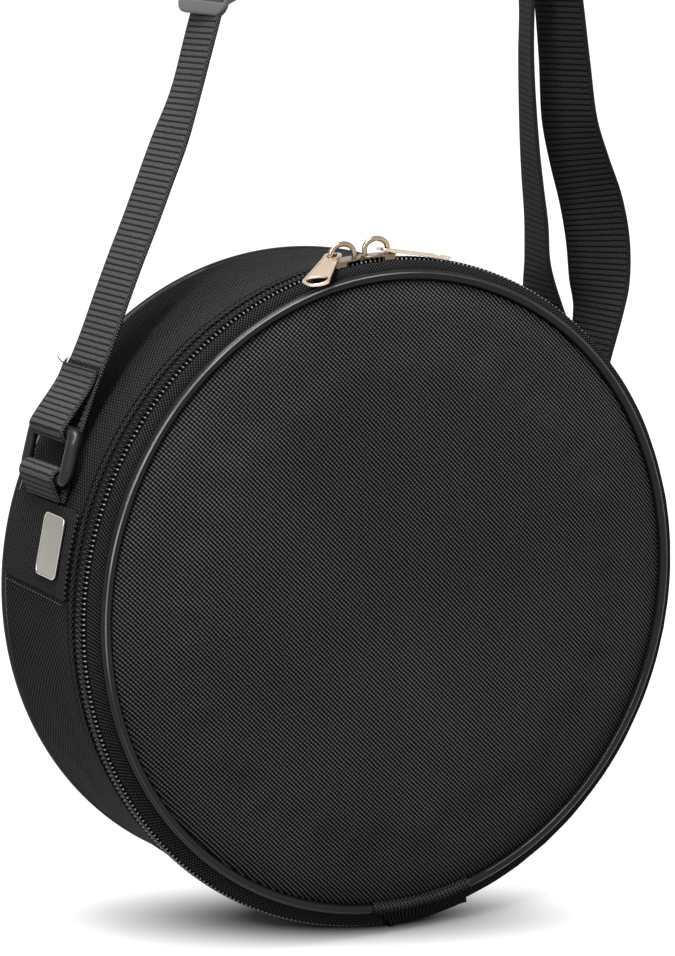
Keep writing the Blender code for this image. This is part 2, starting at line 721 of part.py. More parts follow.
def build_adjuster(adjuster):
    """Tri-glide buckle: outer bars over the first strand, middle bar behind the second."""
    strand_pitch = webbing_thickness + strand_gap
    half_width = webbing_width / 2 + clearance + adjuster_rail
    half_height = adjuster_height / 2
    bar_low = webbing_thickness / 2 + clearance
    bar_high = bar_low + adjuster_bar_thickness
    core_high = -(strand_pitch + webbing_thickness / 2 + clearance)
    core_low = core_high - adjuster_core_thickness
    centre, up = adjuster_frame()
    out = Vector((-up[1], 0, up[0]))
    frame = Matrix((Vector((up[0], 0, up[1])), Vector((0, 1, 0)), out)).transposed().to_4x4()
    place = Matrix.Translation(bag_origin + Vector((centre[0], strap_setback, centre[1]))) @ frame

    bm = bmesh.new()
    prism(bm, rounded_outline(half_height, half_width, adjuster_rail), core_low, bar_high)
    body = object_from(bm, "tri_glide", "plastic", adjuster, place)

    inner_half = webbing_width / 2 + clearance
    window = half_height - adjuster_bar
    cuts = {
        "window_cut": ((-window, -inner_half, bar_low - clearance), (window, inner_half, bar_high + cut_overrun)),
        "strand_cut": ((-half_height - cut_overrun, -inner_half, core_high),
                       (half_height + cut_overrun, inner_half, bar_low)),
        "lower_cut": ((-half_height - cut_overrun, -inner_half, core_low - cut_overrun),
                      (-adjuster_core / 2, inner_half, core_high + clearance)),
        "upper_cut": ((adjuster_core / 2, -inner_half, core_low - cut_overrun),
                      (half_height + cut_overrun, inner_half, core_high + clearance)),
    }
    for name, (low, high) in cuts.items():
        bm = bmesh.new()
        box(bm, low, high)
        boolean(body, helper_from(bm, name, place, adjuster), "DIFFERENCE")
    edges = body.modifiers.new("Rounded edges", "BEVEL")
    edges.width = adjuster_bevel
    edges.segments = 2
    edges.limit_method = "ANGLE"
    edges.angle_limit = math.radians(50)


def build_slider(side, angle, name, carrier):
    """Zip slider with an open rear side, its neck towards the other slider, and its bail."""
    half = slider_length / 2
    front = lid_coil[0] - clearance - slider_flange
    plate_low = coil_outer + slider_running_gap
    plate_high = plate_low + slider_plate
    under_high = tape_inner - 2 * clearance
    under_low = under_high - slider_under_plate
    rear = body_coil[1] + 2 * clearance
    place = tangent_frame(0, angle, 0)

    def outline(low_y, high_y):
        taper = (high_y - low_y) * slider_taper_share
        nose = -side * half
        tail = side * half
        shoulder = nose * slider_nose_share
        corner = tail * slider_tail_share
        return [(nose, low_y + taper), (shoulder, low_y), (corner, low_y), (tail, low_y + taper / 2),
                (tail, high_y - taper / 2), (corner, high_y), (shoulder, high_y), (nose, high_y - taper)]

    bm = bmesh.new()
    prism(bm, outline(front, rear), plate_low, plate_high)
    body = object_from(bm, name, "gold", carrier, place)

    join = slider_plate / 4
    pieces = []
    bm = bmesh.new()
    prism(bm, outline(lid_coil[0] + slider_under_inset, rear - slider_under_inset), under_low, under_high)
    pieces.append(helper_from(bm, name + "_under_guide", place, carrier))
    bm = bmesh.new()
    neck_ends = sorted((-side * (half - join), -side * (half - slider_neck_length)))
    box(bm, (neck_ends[0], chain_middle - slider_neck / 2, under_high - join),
        (neck_ends[1], chain_middle + slider_neck / 2, plate_low + join))
    pieces.append(helper_from(bm, name + "_neck_guide", place, carrier))
    bm = bmesh.new()
    flange_ends = sorted((0, side * half * slider_tail_share))
    box(bm, (flange_ends[0], front, coil_inner + clearance / 2),
        (flange_ends[1], front + slider_flange, plate_low + join))
    pieces.append(helper_from(bm, name + "_flange_guide", place, carrier))

    wire = bail_wire / 2
    foot = plate_high - join
    centre_height = plate_high + bail_leg
    path = [(-bail_half_length, foot), (-bail_half_length, centre_height)]
    for step in range(1, 8):
        turn = math.radians(180 - 180 * step / 8)
        path.append((bail_half_length * math.cos(turn), centre_height + bail_height * math.sin(turn)))
    path += [(bail_half_length, centre_height), (bail_half_length, foot)]
    bm = bmesh.new()
    loops = []
    for index, point in enumerate(path):
        before = path[max(index - 1, 0)]
        after = path[min(index + 1, len(path) - 1)]
        along = Vector((after[0] - before[0], 0, after[1] - before[1])).normalized()
        sideways = Vector((along.z, 0, -along.x))
        loop = []
        for spoke in range(wire_sides):
            turn = math.tau * spoke / wire_sides
            offset = sideways * (wire * math.cos(turn)) + Vector((0, wire * math.sin(turn), 0))
            loop.append(bm.verts.new(Vector((point[0], chain_middle, point[1])) + offset))
        loops.append(loop)
    for first, second in zip(loops, loops[1:]):
        for spoke in range(wire_sides):
            following = (spoke + 1) % wire_sides
            bm.faces.new((first[spoke], first[following], second[following], second[spoke]))
    bm.faces.new(loops[0])
    bm.faces.new(loops[-1])
    pieces.append(helper_from(bm, name + "_bail_guide", place, carrier))
    for piece in pieces:
        boolean(body, piece, "UNION")
    return centre_height


def build_pull(side, angle, centre_height, drop, slant, dip, roll, name, carrier):
    """Flat pull with its eye round the bail, turning about the bail's middle."""
    eye_middle = (bail_half_length + bail_height) / 2
    start = eye_middle - pull_eye_length / 2 - pull_rim
    end = start + pull_length
    half_eye = pull_eye_width / 2
    half_end = pull_end_width / 2
    bend = end - half_end * pull_bend_share
    nose = half_eye * pull_nose_share
    eye_end = start + pull_eye_length + pull_rim * 2
    outline = [(start, -nose), (start + pull_rim, -half_eye), (eye_end, -half_eye), (bend, -half_end)]
    for step in range(1, 8):
        turn = math.radians(-90 + 180 * step / 8)
        outline.append((bend + (end - bend) * math.cos(turn), half_end * math.sin(turn)))
    outline += [(bend, half_end), (eye_end, half_eye), (start + pull_rim, half_eye), (start, nose)]
    seat = tangent_frame(centre_height, angle, chain_middle)
    facing = Matrix.Rotation(0 if side > 0 else math.pi, 4, "Z")
    lie = Matrix.Rotation(math.radians(drop), 4, "Y")
    pivot = Matrix.Translation(Vector((eye_middle, 0, 0)))
    swing = Matrix.Rotation(math.radians(slant), 4, "Z") @ Matrix.Rotation(math.radians(dip), 4, "Y")
    lean = pivot @ swing @ Matrix.Rotation(math.radians(-roll), 4, "X") @ pivot.inverted()
    place = seat @ facing @ lie @ lean

    bm = bmesh.new()
    half = pull_thickness / 2
    prism(bm, outline, -half, half)
    pull = object_from(bm, name, "gold", carrier, place)

    bm = bmesh.new()
    box(bm, (eye_middle - pull_eye_length / 2, -pull_eye_gap / 2, -half - cut_overrun),
        (eye_middle + pull_eye_length / 2, pull_eye_gap / 2, half + cut_overrun))
    boolean(pull, helper_from(bm, name + "_eye_cut", place, carrier), "DIFFERENCE")
    hole_end = end - pull_rim
    hole_start = hole_end - pull_hole_length
    hole_half = half_end - pull_rim
    hole_bend = hole_start + pull_hole_length * pull_hole_straight_share
    hole = [(hole_start, -hole_half)]
    for step in range(1, 8):
        turn = math.radians(-90 + 180 * step / 8)
        hole.append((hole_bend + (hole_end - hole_bend) * math.cos(turn), hole_half * math.sin(turn)))
    hole.append((hole_start, hole_half))
    bm = bmesh.new()
    prism(bm, hole, -half - cut_overrun, half + cut_overrun)
    boolean(pull, helper_from(bm, name + "_hole_cut", place, carrier), "DIFFERENCE")


def main():
    clear_scene()
    strap = axis_empty("strap_hold", (0, 0, 0))
    centre, _ = adjuster_frame()
    adjuster_point = bag_origin + Vector((centre[0], strap_setback, centre[1]))
    adjuster = axis_empty("adjuster_axis", adjuster_point, strap)
    _, upper, _ = ring_bars(-1)
    bag = axis_empty("bag_swing_axis", bag_origin + Vector((0, strap_setback, upper.z)), strap)
    hinge_radius = coil_outer + clearance + hinge_thickness / 2
    lid = axis_empty("lid_hinge_axis", bag_origin + polar(hinge_radius, hinge_angle, chain_middle), bag)

    build_front_panel(lid)
    build_pipings(lid, bag)
    build_lid_gusset(lid)
    build_bindings(lid, bag)
    build_zip(lid, bag)
    build_body_gusset(bag)
    build_rear_panel(bag)
    build_hinge_patch(bag)
    for side, word in ((-1, "left"), (1, "right")):
        build_tab(side, word + "_tab", bag)
        build_webbing_loop(side, word + "_webbing_loop", bag)
        build_ring(side, word + "_ring", bag)
    build_badge(bag)
    build_strap(strap)
    build_adjuster(adjuster)

    sliders = ((-1, left_slider_angle, "left", left_pull_drop, left_pull_slant, left_pull_dip, left_pull_roll),
               (1, right_slider_angle, "right", right_pull_drop, 0, 0, 0))
    for side, angle, word, drop, slant, dip, roll in sliders:
        travel = axis_empty(word + "_slider_axis", bag_origin + Vector((0, chain_middle, 0)), lid)
        height = build_slider(side, angle, word + "_slider", travel)
        flip_point = tangent_frame(height, angle, chain_middle).translation
        flip = axis_empty(word + "_pull_axis", flip_point, travel)
        build_pull(side, angle, height, drop, slant, dip, roll, word + "_pull", flip)


main()
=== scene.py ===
import math
import random

import bmesh
import bpy
from mathutils import Matrix, Vector, noise


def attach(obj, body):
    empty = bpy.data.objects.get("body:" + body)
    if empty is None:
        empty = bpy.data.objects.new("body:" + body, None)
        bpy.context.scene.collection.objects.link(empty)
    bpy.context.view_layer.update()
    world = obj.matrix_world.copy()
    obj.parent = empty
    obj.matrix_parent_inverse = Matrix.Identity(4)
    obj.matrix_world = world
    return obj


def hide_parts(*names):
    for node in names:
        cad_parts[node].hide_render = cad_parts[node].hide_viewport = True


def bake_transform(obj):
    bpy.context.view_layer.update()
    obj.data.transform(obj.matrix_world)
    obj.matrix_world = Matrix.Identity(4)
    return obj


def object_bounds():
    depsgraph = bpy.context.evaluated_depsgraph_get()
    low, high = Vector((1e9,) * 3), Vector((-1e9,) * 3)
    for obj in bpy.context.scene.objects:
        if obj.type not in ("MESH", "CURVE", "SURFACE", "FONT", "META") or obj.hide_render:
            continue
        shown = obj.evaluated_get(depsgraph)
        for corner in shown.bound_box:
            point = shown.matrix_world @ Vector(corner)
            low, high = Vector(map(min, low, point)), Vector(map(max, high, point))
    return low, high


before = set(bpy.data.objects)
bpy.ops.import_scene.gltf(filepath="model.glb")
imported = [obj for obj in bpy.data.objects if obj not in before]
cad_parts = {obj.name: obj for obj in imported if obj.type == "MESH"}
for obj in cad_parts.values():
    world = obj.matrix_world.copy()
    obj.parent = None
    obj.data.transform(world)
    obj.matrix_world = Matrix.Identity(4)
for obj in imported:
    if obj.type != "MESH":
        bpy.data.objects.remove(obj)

cad_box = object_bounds()

# Sizes of the bag in metres and degrees. Most are its CAD model's, and the rest are drawn finer here
disc_radius = 0.1075
bag_depth = 0.0743
piping_radius = 0.00175
clearance = 0.0003
panel_rim = 0.1054
dome_height = 0.0052
rear_rise = 0.0027
rear_flat = 0.088
panel_depth = 0.0048
fabric_thickness = 0.0005
lining_thickness = 0.0004
foam_rim = 0.1030
gusset_edge = 0.0150
gusset_rear = 0.07225
zip_rise = 0.0051
coil_outer = 0.1126
coil_inner = 0.1111
tape_outer = 0.11095
tape_thickness = 0.0006
lid_coil_front = 0.0053
body_coil_rear = 0.0116
chain_middle = 0.00845
tooth_pitch = 0.0017
lid_edge = 0.0041
lid_start = 0.00205
body_tape_rear = 0.0195
hinge_angle = 277.6
hinge_half = 7.6
hinge_front_reach = 5.2
hinge_reach = 0.0185
tab_low_angle = 176.1
tab_high_angle = 161.4
tab_front = 0.0196
tab_rear = 0.07195
tab_thickness = 0.0009
strap_setback = 0.0465
webbing_width = 0.025
webbing_thickness = 0.0013
ring_bar = 0.0023
ring_inner_width = 0.0268
ring_inner_height = 0.0108
ring_corner = 0.0033
ring_angle = 157.4
ring_lean = 14.7
apex_share = 3.335
strand_gap = 0.0006
adjuster_lean = 16.9
adjuster_height = 0.0245
adjuster_straight = 0.080
adjuster_core = 0.0038
adjuster_core_thickness = 0.0020
adjuster_rail = 0.0012
adjuster_bar = 0.0045
adjuster_bar_thickness = 0.0022
adjuster_turn = 5.0
front_shrink = 0.0014
front_shift = (-0.0008, 0.0013)
front_shift_start = 0.0018
front_shift_end = 0.0043
badge_width = 0.0168
badge_height = 0.0205
badge_thickness = 0.0008
badge_corner = 0.0026
badge_angle = 168.2
badge_setback = 0.0342
sewn_overlap = 0.020
left_slider_angle = 98.3
slider_length = 0.0118
slider_nose_gap = 0.00058
slider_plate = 0.0010
slider_running_gap = 0.0004
bail_wire = 0.0016
bail_half_length = 0.0043
bail_height = 0.0032
bail_leg = 0.0015
pull_length = 0.0265
pull_end_width = 0.0090
pull_eye_width = 0.0058
pull_eye_length = 0.0031
pull_eye_gap = 0.0034
pull_rim = 0.0009
pull_hole_length = 0.0058
right_pull_swing = (11.5, 0.0, 0.0, 0.0)
left_pull_swing = (2.5, 44.0, 8.0, 4.0)

# Strap route, as shares of the disc's radius from the disc's centre
left_strand_shares = [(-0.80, 0.815), (-0.755, 0.925), (-0.706, 1.041), (-0.653, 1.159),
                      (-0.603, 1.277), (-0.553, 1.395)]
over_shares = [(-0.245, 2.42), (-0.205, 2.70), (-0.175, 2.95), (-0.135, 3.17), (-0.072, 3.295),
               (0.0, 3.335), (0.11, 3.29), (0.25, 3.14), (0.41, 2.90)]
inner_strand_shares = [(0.56, 2.58), (0.665, 2.25), (0.715, 1.95), (0.722, 1.786), (0.722, 1.596),
                       (0.737, 1.341), (0.75, 1.213), (0.766, 1.083), (0.773, 0.953), (0.80, 0.80)]
outer_strand_shares = [(0.60, 2.60), (0.745, 2.27), (0.82, 1.95), (0.843, 1.783), (0.867, 1.593),
                       (0.890, 1.399), (0.929, 1.269), (0.976, 1.137), (1.005, 1.005),
                       (1.013, 0.873), (1.010, 0.775)]
inner_strand_turns = [0, 5, 14, 22, 22, 19, 17, 15, 13, 0]
outer_strand_turns = [0, -2, -4, -8, -11, -17, -23, -29, -30, -24, -10]
adjuster_shares = (-0.39, 1.89)
straight_shares = [-0.5, -0.25, 0.0, 0.25, 0.5]
fold_cut_share = 0.32
turn_extra_wrap = 25.0
strap_substeps = 6
lid_gusset_depth_shares = [0.0, 0.28, 0.80, 1.0]
lid_gusset_rise_shares = [0.0, 0.58, 0.985, 1.0]
gusset_depth_shares = [0.0, 0.32, 1.0]
gusset_rise_shares = [0.84, 0.52, 0.22]
dome_radius_shares = [0.0, 0.45, 0.80, 0.93, 0.985, 1.0]
dome_rise_shares = [1.0, 0.99, 0.93, 0.66, 0.22, 0.0]

# Fine patterns of the looks
seam_line = (0.0004, 0.0009)
rib_pitch = 0.0020
rib_stray = 0.0004
dash_pitch = 0.00085
dash_stray = 0.0003
webbing_edge = (0.0110, 0.0114)
webbing_relief = 0.00025
# Painted shade on the strap's right strands: the middle of its run along the strap, and where it fades out
painted_shade_middle = 0.68
painted_shade_reach = (0.18, 0.30)
knit_pitch = 0.0006
knit_cross_pitch = 0.0007
knit_relief = 0.00006
piping_relief = 0.00001
# Painted highlight on the piping: its place round the tube, its width, and the arcs along the rim where it is
# strongest
piping_highlight_angle = 152
piping_highlight_reach = (0.00010, 0.00034)
piping_lit_arcs = [(138.0, 62.0), (300.0, 18.0)]

# Padded panels and their swelling
panel_rings = 40
panel_hollow = 0.00035
swell_room = 0.0006
swell_pressure = 3.0
swell_frames = 20

# Rim, bindings and zip
gusset_foam = 0.003
gusset_lip = (0.0002, 0.0004)
gusset_lining_span = (0.0198, 0.0695)
band_hollow = 0.0011
lid_band_hollow = 0.0003
binding_setback = 0.0008
binding_width = 0.0021
binding_height = 0.0018
lid_tape_start = [(0.0026, 0.1072), (0.0036, 0.1102)]
lid_tape_flat = 0.0047
lid_tape_rear = 0.0079
body_tape_front = 0.0090
body_tape_fall = 0.0009
lid_tooth_head = 0.0093
body_tooth_head = 0.0076
body_tooth_inset = 0.0004
tooth_radius = 0.00042

# Hinge strip, its folds and its stitches
hinge_gap = 0.0002
hinge_skin = piping_radius * 0.72 + hinge_gap + fabric_thickness
hinge_rise = [(-0.0006, -0.0026), (0.0014, 0.0021), (0.0028, 0.0046)]
hinge_ease = 0.7
hinge_slant_depth = 0.0040
hinge_stitches = 26
hinge_stitch_lift = 0.00004
hinge_stitch_radius = 0.00016
fold_start = 0.0022
fold_ramp = 0.002
fold_pitch = 0.0034
fold_depth = 0.0009
fold_end_lift = 0.0004

# Tabs and rings: a stitch is its length, the gap after it and its radius
tab_corner = 0.0030
tab_swell = 0.0009
tab_swell_reach = 0.0148
tab_swell_ease = 0.0030
tab_swell_depth = 0.0026
tab_stitch = (0.0015, 0.0009, 0.00019)
tab_stitch_inset = 0.0016
tab_stitch_lift = 0.00002
ring_step = 0.0012
ring_front_reach = (0.0027, 0.0026)
ring_rear_reach = (0.0018, 0.0020)

# Strap's sewn and frayed ends
loop_extra_turn = 34
fold_inside_share = 0.7
fold_outside_share = 1.15
fray_strands = 90
fray_radius = 0.00017
fray_length = (0.0005, 0.0021)
fray_lift = (-0.0005, 0.0006)
loose_radius = 0.00034
loose_setback = 0.0002
loose_thread = [(0.0010, 0, -0.0008), (0.0002, 0.0003, -0.0006), (-0.0008, 0.0007, -0.0001),
                (-0.0015, 0.0010, 0.0008), (-0.0019, 0.0012, 0.0018)]
seam_stitch = (0.0016, 0.0008, 0.00020)
seam_inset = 0.0022

# Badge plate and adjuster, with the radius of each rounded edge named soft
badge_rim_width = 0.0005
badge_rim_soft = 0.00022
badge_corner_inset = 0.0004
badge_face_drop = 0.00015
badge_face_soft = 0.0001
adjuster_drop = 0.0018
adjuster_corner = 0.0042
adjuster_window_corner = 0.0008
adjuster_soft = 0.0007
adjuster_core_corner = 0.0012
adjuster_core_soft = 0.0006
wall_top_reach = 0.0085
wall_top_lift = 0.0008
wall_foot_reach = 0.0030
wall_foot_lift = 0.0004
wall_inset = 0.0001
wall_soft = 0.0004

# Zip sliders and pulls
slider_outline_shares = [(1.0, 0.50), (0.90, 0.72), (0.70, 0.90), (0.45, 1.0), (0.0, 1.0), (-0.6, 0.98),
                         (-0.85, 0.92), (-1.0, 0.72)]
slider_front_reach = 0.0006
slider_plate_drop = 0.00035
slider_top_thickness = 0.00055
slider_soft = 0.00018
slider_flange = 0.0006
slider_flange_lift = 0.0007
slider_flange_drop = 0.0003
slider_flange_soft = 0.00015
slider_under_plate = 0.0009
slider_under_soft = 0.0002
slider_neck_half = 0.00025
slider_neck_overlap = 0.0001
slider_neck_drop = 0.0002
slider_neck_soft = 0.0001
bail_foot_drop = 0.0003
pull_eye_ease = (0.0006, 0.0014)
pull_eye_corner = 0.0009
pull_shoulder = 0.0020
pull_bend_ease = 0.0010
pull_hole_ease = (0.0004, 0.0005, 0.0002)
pull_face_inset = 0.00015
pull_face_half = 0.00036
pull_face_soft = 0.00012
pull_rim_width = 0.0007
pull_rim_half = 0.0005
pull_rim_soft = 0.0002

# Rods: each ring's place along the rod, and its size
rod_end_shares = [(0.0, 0.35), (0.12, 0.85), (0.5, 1.0), (0.88, 0.85), (1.0, 0.35)]
sharp_angle = 50
merge_distance = 1e-7

# Floor: the painted soft shadow under the bag
floor_reach = 14.0
floor_gap = 0.0003
floor_shadow_middle = (-0.009, -0.022)
floor_shadow_turn = -29.6
floor_shadow_reach = (0.102, 0.041)

# Camera, in the photograph's place
camera_from_bag = Vector((-0.5743, -0.9688, 0.2467))
camera_forward = Vector((0.48638, 0.85499, -0.18006))
camera_lens = 131.8

bag_origin = Vector((0, -strap_setback, -(apex_share * disc_radius - webbing_thickness / 2)))
rearward = Vector((0, 1, 0))
strand_pitch = webbing_thickness + strand_gap
layer_pitch = webbing_thickness + clearance
wrap_radius = ring_bar + clearance + webbing_thickness / 2


# Looks

class Look:
    """A Principled material and short calls for its nodes."""

    def __init__(self, name, roughness, metallic=0.0, specular=0.5):
        self.material = bpy.data.materials.new(name)
        self.material.use_nodes = True
        self.tree = self.material.node_tree
        self.shader = self.tree.nodes["Principled BSDF"]
        self.shader.inputs["Roughness"].default_value = roughness
        self.shader.inputs["Metallic"].default_value = metallic
        self.shader.inputs["Specular IOR Level"].default_value = specular

    def put(self, value, socket):
        """Link a node's output to a socket, or set a plain value on it."""
        if isinstance(value, bpy.types.NodeSocket):
            self.tree.links.new(value, socket)
        else:
            socket.default_value = value

    def node(self, kind, inputs=(), **settings):
        made = self.tree.nodes.new(kind)
        for key, value in settings.items():
            setattr(made, key, value)
        for key, value in dict(inputs).items():
            self.put(value, made.inputs[key])
        return made

    def math(self, operation, first, second=0.0, third=0.0):
        made = self.node("ShaderNodeMath", {0: first, 1: second, 2: third}, operation=operation)
        return made.outputs[0]

    def away(self, value, middle):
        """How far a value is from the middle."""
        return self.math("ABSOLUTE", self.math("SUBTRACT", value, middle))

    def vary(self, value, size, base):
        """The base, raised and lowered by a noise that runs from 0 to 1."""
        return self.math("MULTIPLY_ADD", self.math("SUBTRACT", value, 0.5), size, base)

    def wave(self, value, pitch, kind="COSINE"):
        """A wave along a coordinate, one for each pitch."""
        return self.math(kind, self.math("MULTIPLY", value, math.tau / pitch))

    def clamp_range(self, value, low, high, to_low=0.0, to_high=1.0):
        made = self.node("ShaderNodeMapRange", {"Value": value, "From Min": low, "From Max": high,
                                                "To Min": to_low, "To Max": to_high},
                         interpolation_type="SMOOTHSTEP")
        return made.outputs["Result"]

    def cloth(self):
        """The cloth's own two coordinates, in metres."""
        place = self.node("ShaderNodeUVMap", uv_map="cloth").outputs[0]
        parts = self.node("ShaderNodeSeparateXYZ", {0: place})
        return place, parts.outputs[0], parts.outputs[1]

    def place(self):
        return self.node("ShaderNodeTexCoord").outputs["Object"]

    def noise(self, vector, scale, detail=2.0):
        made = self.node("ShaderNodeTexNoise", {"Vector": vector, "Scale": scale, "Detail": detail})
        return made.outputs["Fac"]

    def mix(self, factor, low, high):
        made = self.node("ShaderNodeMix", data_type="RGBA")
        for key, value in ((0, factor), (6, low), (7, high)):
            self.put((*value, 1) if isinstance(value, tuple) else value, made.inputs[key])
        return made.outputs[2]

    def colour(self, socket):
        self.put(socket, self.shader.inputs["Base Color"])

    def roughness(self, socket):
        self.put(socket, self.shader.inputs["Roughness"])

    def bump(self, height, distance, strength=1.0):
        made = self.node("ShaderNodeBump", {"Height": height, "Distance": distance, "Strength": strength})
        self.put(made.outputs[0], self.shader.inputs["Normal"])


def weave_look(name, dark, light, pitch, falling, rising, relief, roughness=0.75, span=(0.40, 1.02),
               seam=None):
    """Plain weave: two sets of threads that pass over each other like a chessboard, and a dark seam. The
    light dots are painted highlights on the raised threads, and unequal falling and rising weights paint
    light from one side.
    """
    look = Look(name, roughness, specular=0.02)
    place, across, along = look.cloth()
    stray = look.noise(place, 300.0)
    u = look.math("ADD", look.math("DIVIDE", across, pitch), look.math("MULTIPLY", stray, 0.5))
    v = look.math("ADD", look.math("DIVIDE", along, pitch), look.math("MULTIPLY", stray, 0.3))
    # Painted highlight: the two diagonals get different weights, as if the weave were lit from one side
    fall = look.math("COSINE", look.math("MULTIPLY", look.math("ADD", u, v), math.pi))
    rise = look.math("COSINE", look.math("MULTIPLY", look.math("SUBTRACT", u, v), math.pi))
    weave = look.math("MULTIPLY_ADD", fall, falling, look.math("MULTIPLY_ADD", rise, rising, 0.5))
    tone = look.vary(look.noise(place, 14.0, 3.0), 0.22, weave)
    tone = look.vary(look.noise(place, 2600.0, 1.0), 0.30, tone)
    if seam:
        tone = look.math("MULTIPLY", tone, look.clamp_range(look.away(across, seam), *seam_line))
    look.colour(look.mix(look.clamp_range(tone, *span), dark, light))
    look.bump(tone, relief)
    return look.material


def webbing_look():
    """Ribbed webbing: dashed dark ribs with painted light on their crests and painted shade in their grooves,
    a dotted edge band, and painted shade darkening the strands on the strap's right side.
    """
    look = Look("ribbed webbing", 0.7, specular=0.03)
    place, across, along = look.cloth()
    stray = look.noise(place, 500.0, 1.0)
    rib_place = look.math("MULTIPLY_ADD", stray, rib_stray, along)
    dash_place = look.math("MULTIPLY_ADD", stray, dash_stray, across)
    # The rib pattern, with painted light on the rib crests and painted shade in the grooves between them
    crest = look.clamp_range(look.wave(rib_place, rib_pitch), -1.0, 0.15, 0.28, 1.0)
    threads = look.math("MULTIPLY_ADD", look.wave(dash_place, dash_pitch), 0.26, 0.74)
    ground = look.math("MULTIPLY", crest, threads)
    outside = look.math("ABSOLUTE", across)
    edge = look.clamp_range(outside, *webbing_edge)
    dot = look.wave(look.math("MULTIPLY_ADD", outside, 1.2, rib_place), rib_pitch / 2)
    edge_mark = look.clamp_range(dot, -0.5, 0.7, 0.12, 0.75)
    pattern = look.math("MULTIPLY_ADD", look.math("SUBTRACT", edge_mark, ground), edge, ground)
    tone = look.vary(look.noise(place, 2400.0), 0.9, pattern)
    # Painted shade: the strands on the strap's right side get a darker light tone, as if they lay in shade
    shaded = look.clamp_range(look.away(along, painted_shade_middle), *painted_shade_reach, 1.0, 0.0)
    light = look.mix(shaded, (0.088, 0.088, 0.089), (0.034, 0.034, 0.035))
    look.colour(look.mix(look.clamp_range(tone, 0.0, 1.1), (0.0030, 0.0030, 0.0032), light))
    look.bump(tone, webbing_relief)
    return look.material


def tape_look(name, dark, light):
    """Fine knitted tape or binding: short slanting ribs."""
    look = Look(name, 0.75, specular=0.03)
    _, u, v = look.cloth()
    rib = look.wave(look.math("ADD", u, look.math("MULTIPLY", v, 0.6)), knit_pitch, "SINE")
    cross = look.wave(v, knit_cross_pitch, "SINE")
    tone = look.math("MULTIPLY_ADD", rib, 0.3, look.math("MULTIPLY_ADD", cross, 0.2, 0.5))
    look.colour(look.mix(tone, dark, light))
    look.bump(tone, knit_relief)
    return look.material


def smooth_look(name, dark, light, roughness, grain_scale, relief, metallic=0.0, specular=0.5):
    """Moulded or metal surface with fine grain and slightly uneven gloss."""
    look = Look(name, roughness, metallic, specular)
    place = look.place()
    grain = look.noise(place, grain_scale, 3.0)
    look.colour(look.mix(look.noise(place, 60.0), dark, light))
    look.roughness(look.vary(grain, 0.1, roughness))
    look.bump(grain, relief, 0.6)
    return look.material


def metal_look(name, dark, light, roughness, grain_scale, relief=0.000005):
    return smooth_look(name, dark, light, roughness, grain_scale, relief, metallic=1.0)


def piping_look():
    """Glossy vinyl cord cover, with a painted highlight along its front crest, dim all round and strongest on
    the arcs where the lamps' highlight falls.
    """
    look = Look("piping", 0.40, specular=0.05)
    look.shader.inputs["Coat Weight"].default_value = 0.20
    look.shader.inputs["Coat Roughness"].default_value = 0.06
    place, around, along = look.cloth()
    # Painted highlight: a patchy light band along the tube's front crest, brightest on the lit arcs
    away = look.away(around, piping_radius * math.radians(piping_highlight_angle))
    patchy = look.clamp_range(look.noise(place, 45.0, 3.0), 0.30, 0.62, 0.35, 1.0)
    crest = look.math("MULTIPLY", look.clamp_range(away, *piping_highlight_reach, 1.0, 0.0), patchy)
    lit = 0.16
    for middle, reach in piping_lit_arcs:
        arc_reach = math.radians(reach) * disc_radius
        near = look.clamp_range(look.away(along, math.radians(middle) * disc_radius),
                                arc_reach * 0.5, arc_reach, 1.0, 0.0)
        lit = look.math("MAXIMUM", near, lit)
    crest = look.math("MULTIPLY", crest, lit)
    broad = look.mix(look.noise(place, 60.0), (0.005, 0.005, 0.0055), (0.009, 0.009, 0.0095))
    look.colour(look.mix(crest, broad, (0.230, 0.230, 0.230)))
    look.bump(look.noise(place, 900.0), piping_relief, 0.6)
    return look.material


panel_weave = weave_look("panel weave", (0.0042, 0.0042, 0.0045), (0.098, 0.098, 0.100),
                         pitch=0.00081, falling=0.34, rising=0.15, relief=0.00010)
gusset_weave = weave_look("gusset weave", (0.0030, 0.0030, 0.0032), (0.052, 0.052, 0.053),
                          pitch=0.00100, falling=0.20, rising=0.28, relief=0.00012, seam=0.0040)
lid_gusset_weave = weave_look("lid gusset weave", (0.0040, 0.0040, 0.0043), (0.046, 0.046, 0.047),
                              pitch=0.00060, falling=0.28, rising=0.20, relief=0.00008)
tab_weave = weave_look("tab weave", (0.0030, 0.0030, 0.0032), (0.052, 0.052, 0.051),
                       pitch=0.00080, falling=0.36, rising=0.10, relief=0.00010)
lining_weave = weave_look("lining weave", (0.020, 0.020, 0.022), (0.050, 0.050, 0.054),
                          pitch=0.0005, falling=0.25, rising=0.25, relief=0.00004, roughness=0.55,
                          span=(0.30, 1.0))
webbing_cloth = webbing_look()
tape_cloth = tape_look("zip tape", (0.0025, 0.0025, 0.0028), (0.013, 0.013, 0.0135))
binding_cloth = tape_look("binding tape", (0.008, 0.008, 0.009), (0.034, 0.034, 0.035))
piping_gloss = piping_look()
moulded = smooth_look("moulded plastic", (0.008, 0.008, 0.0085), (0.013, 0.013, 0.014),
                      roughness=0.26, grain_scale=2500.0, relief=0.00002, specular=0.22)
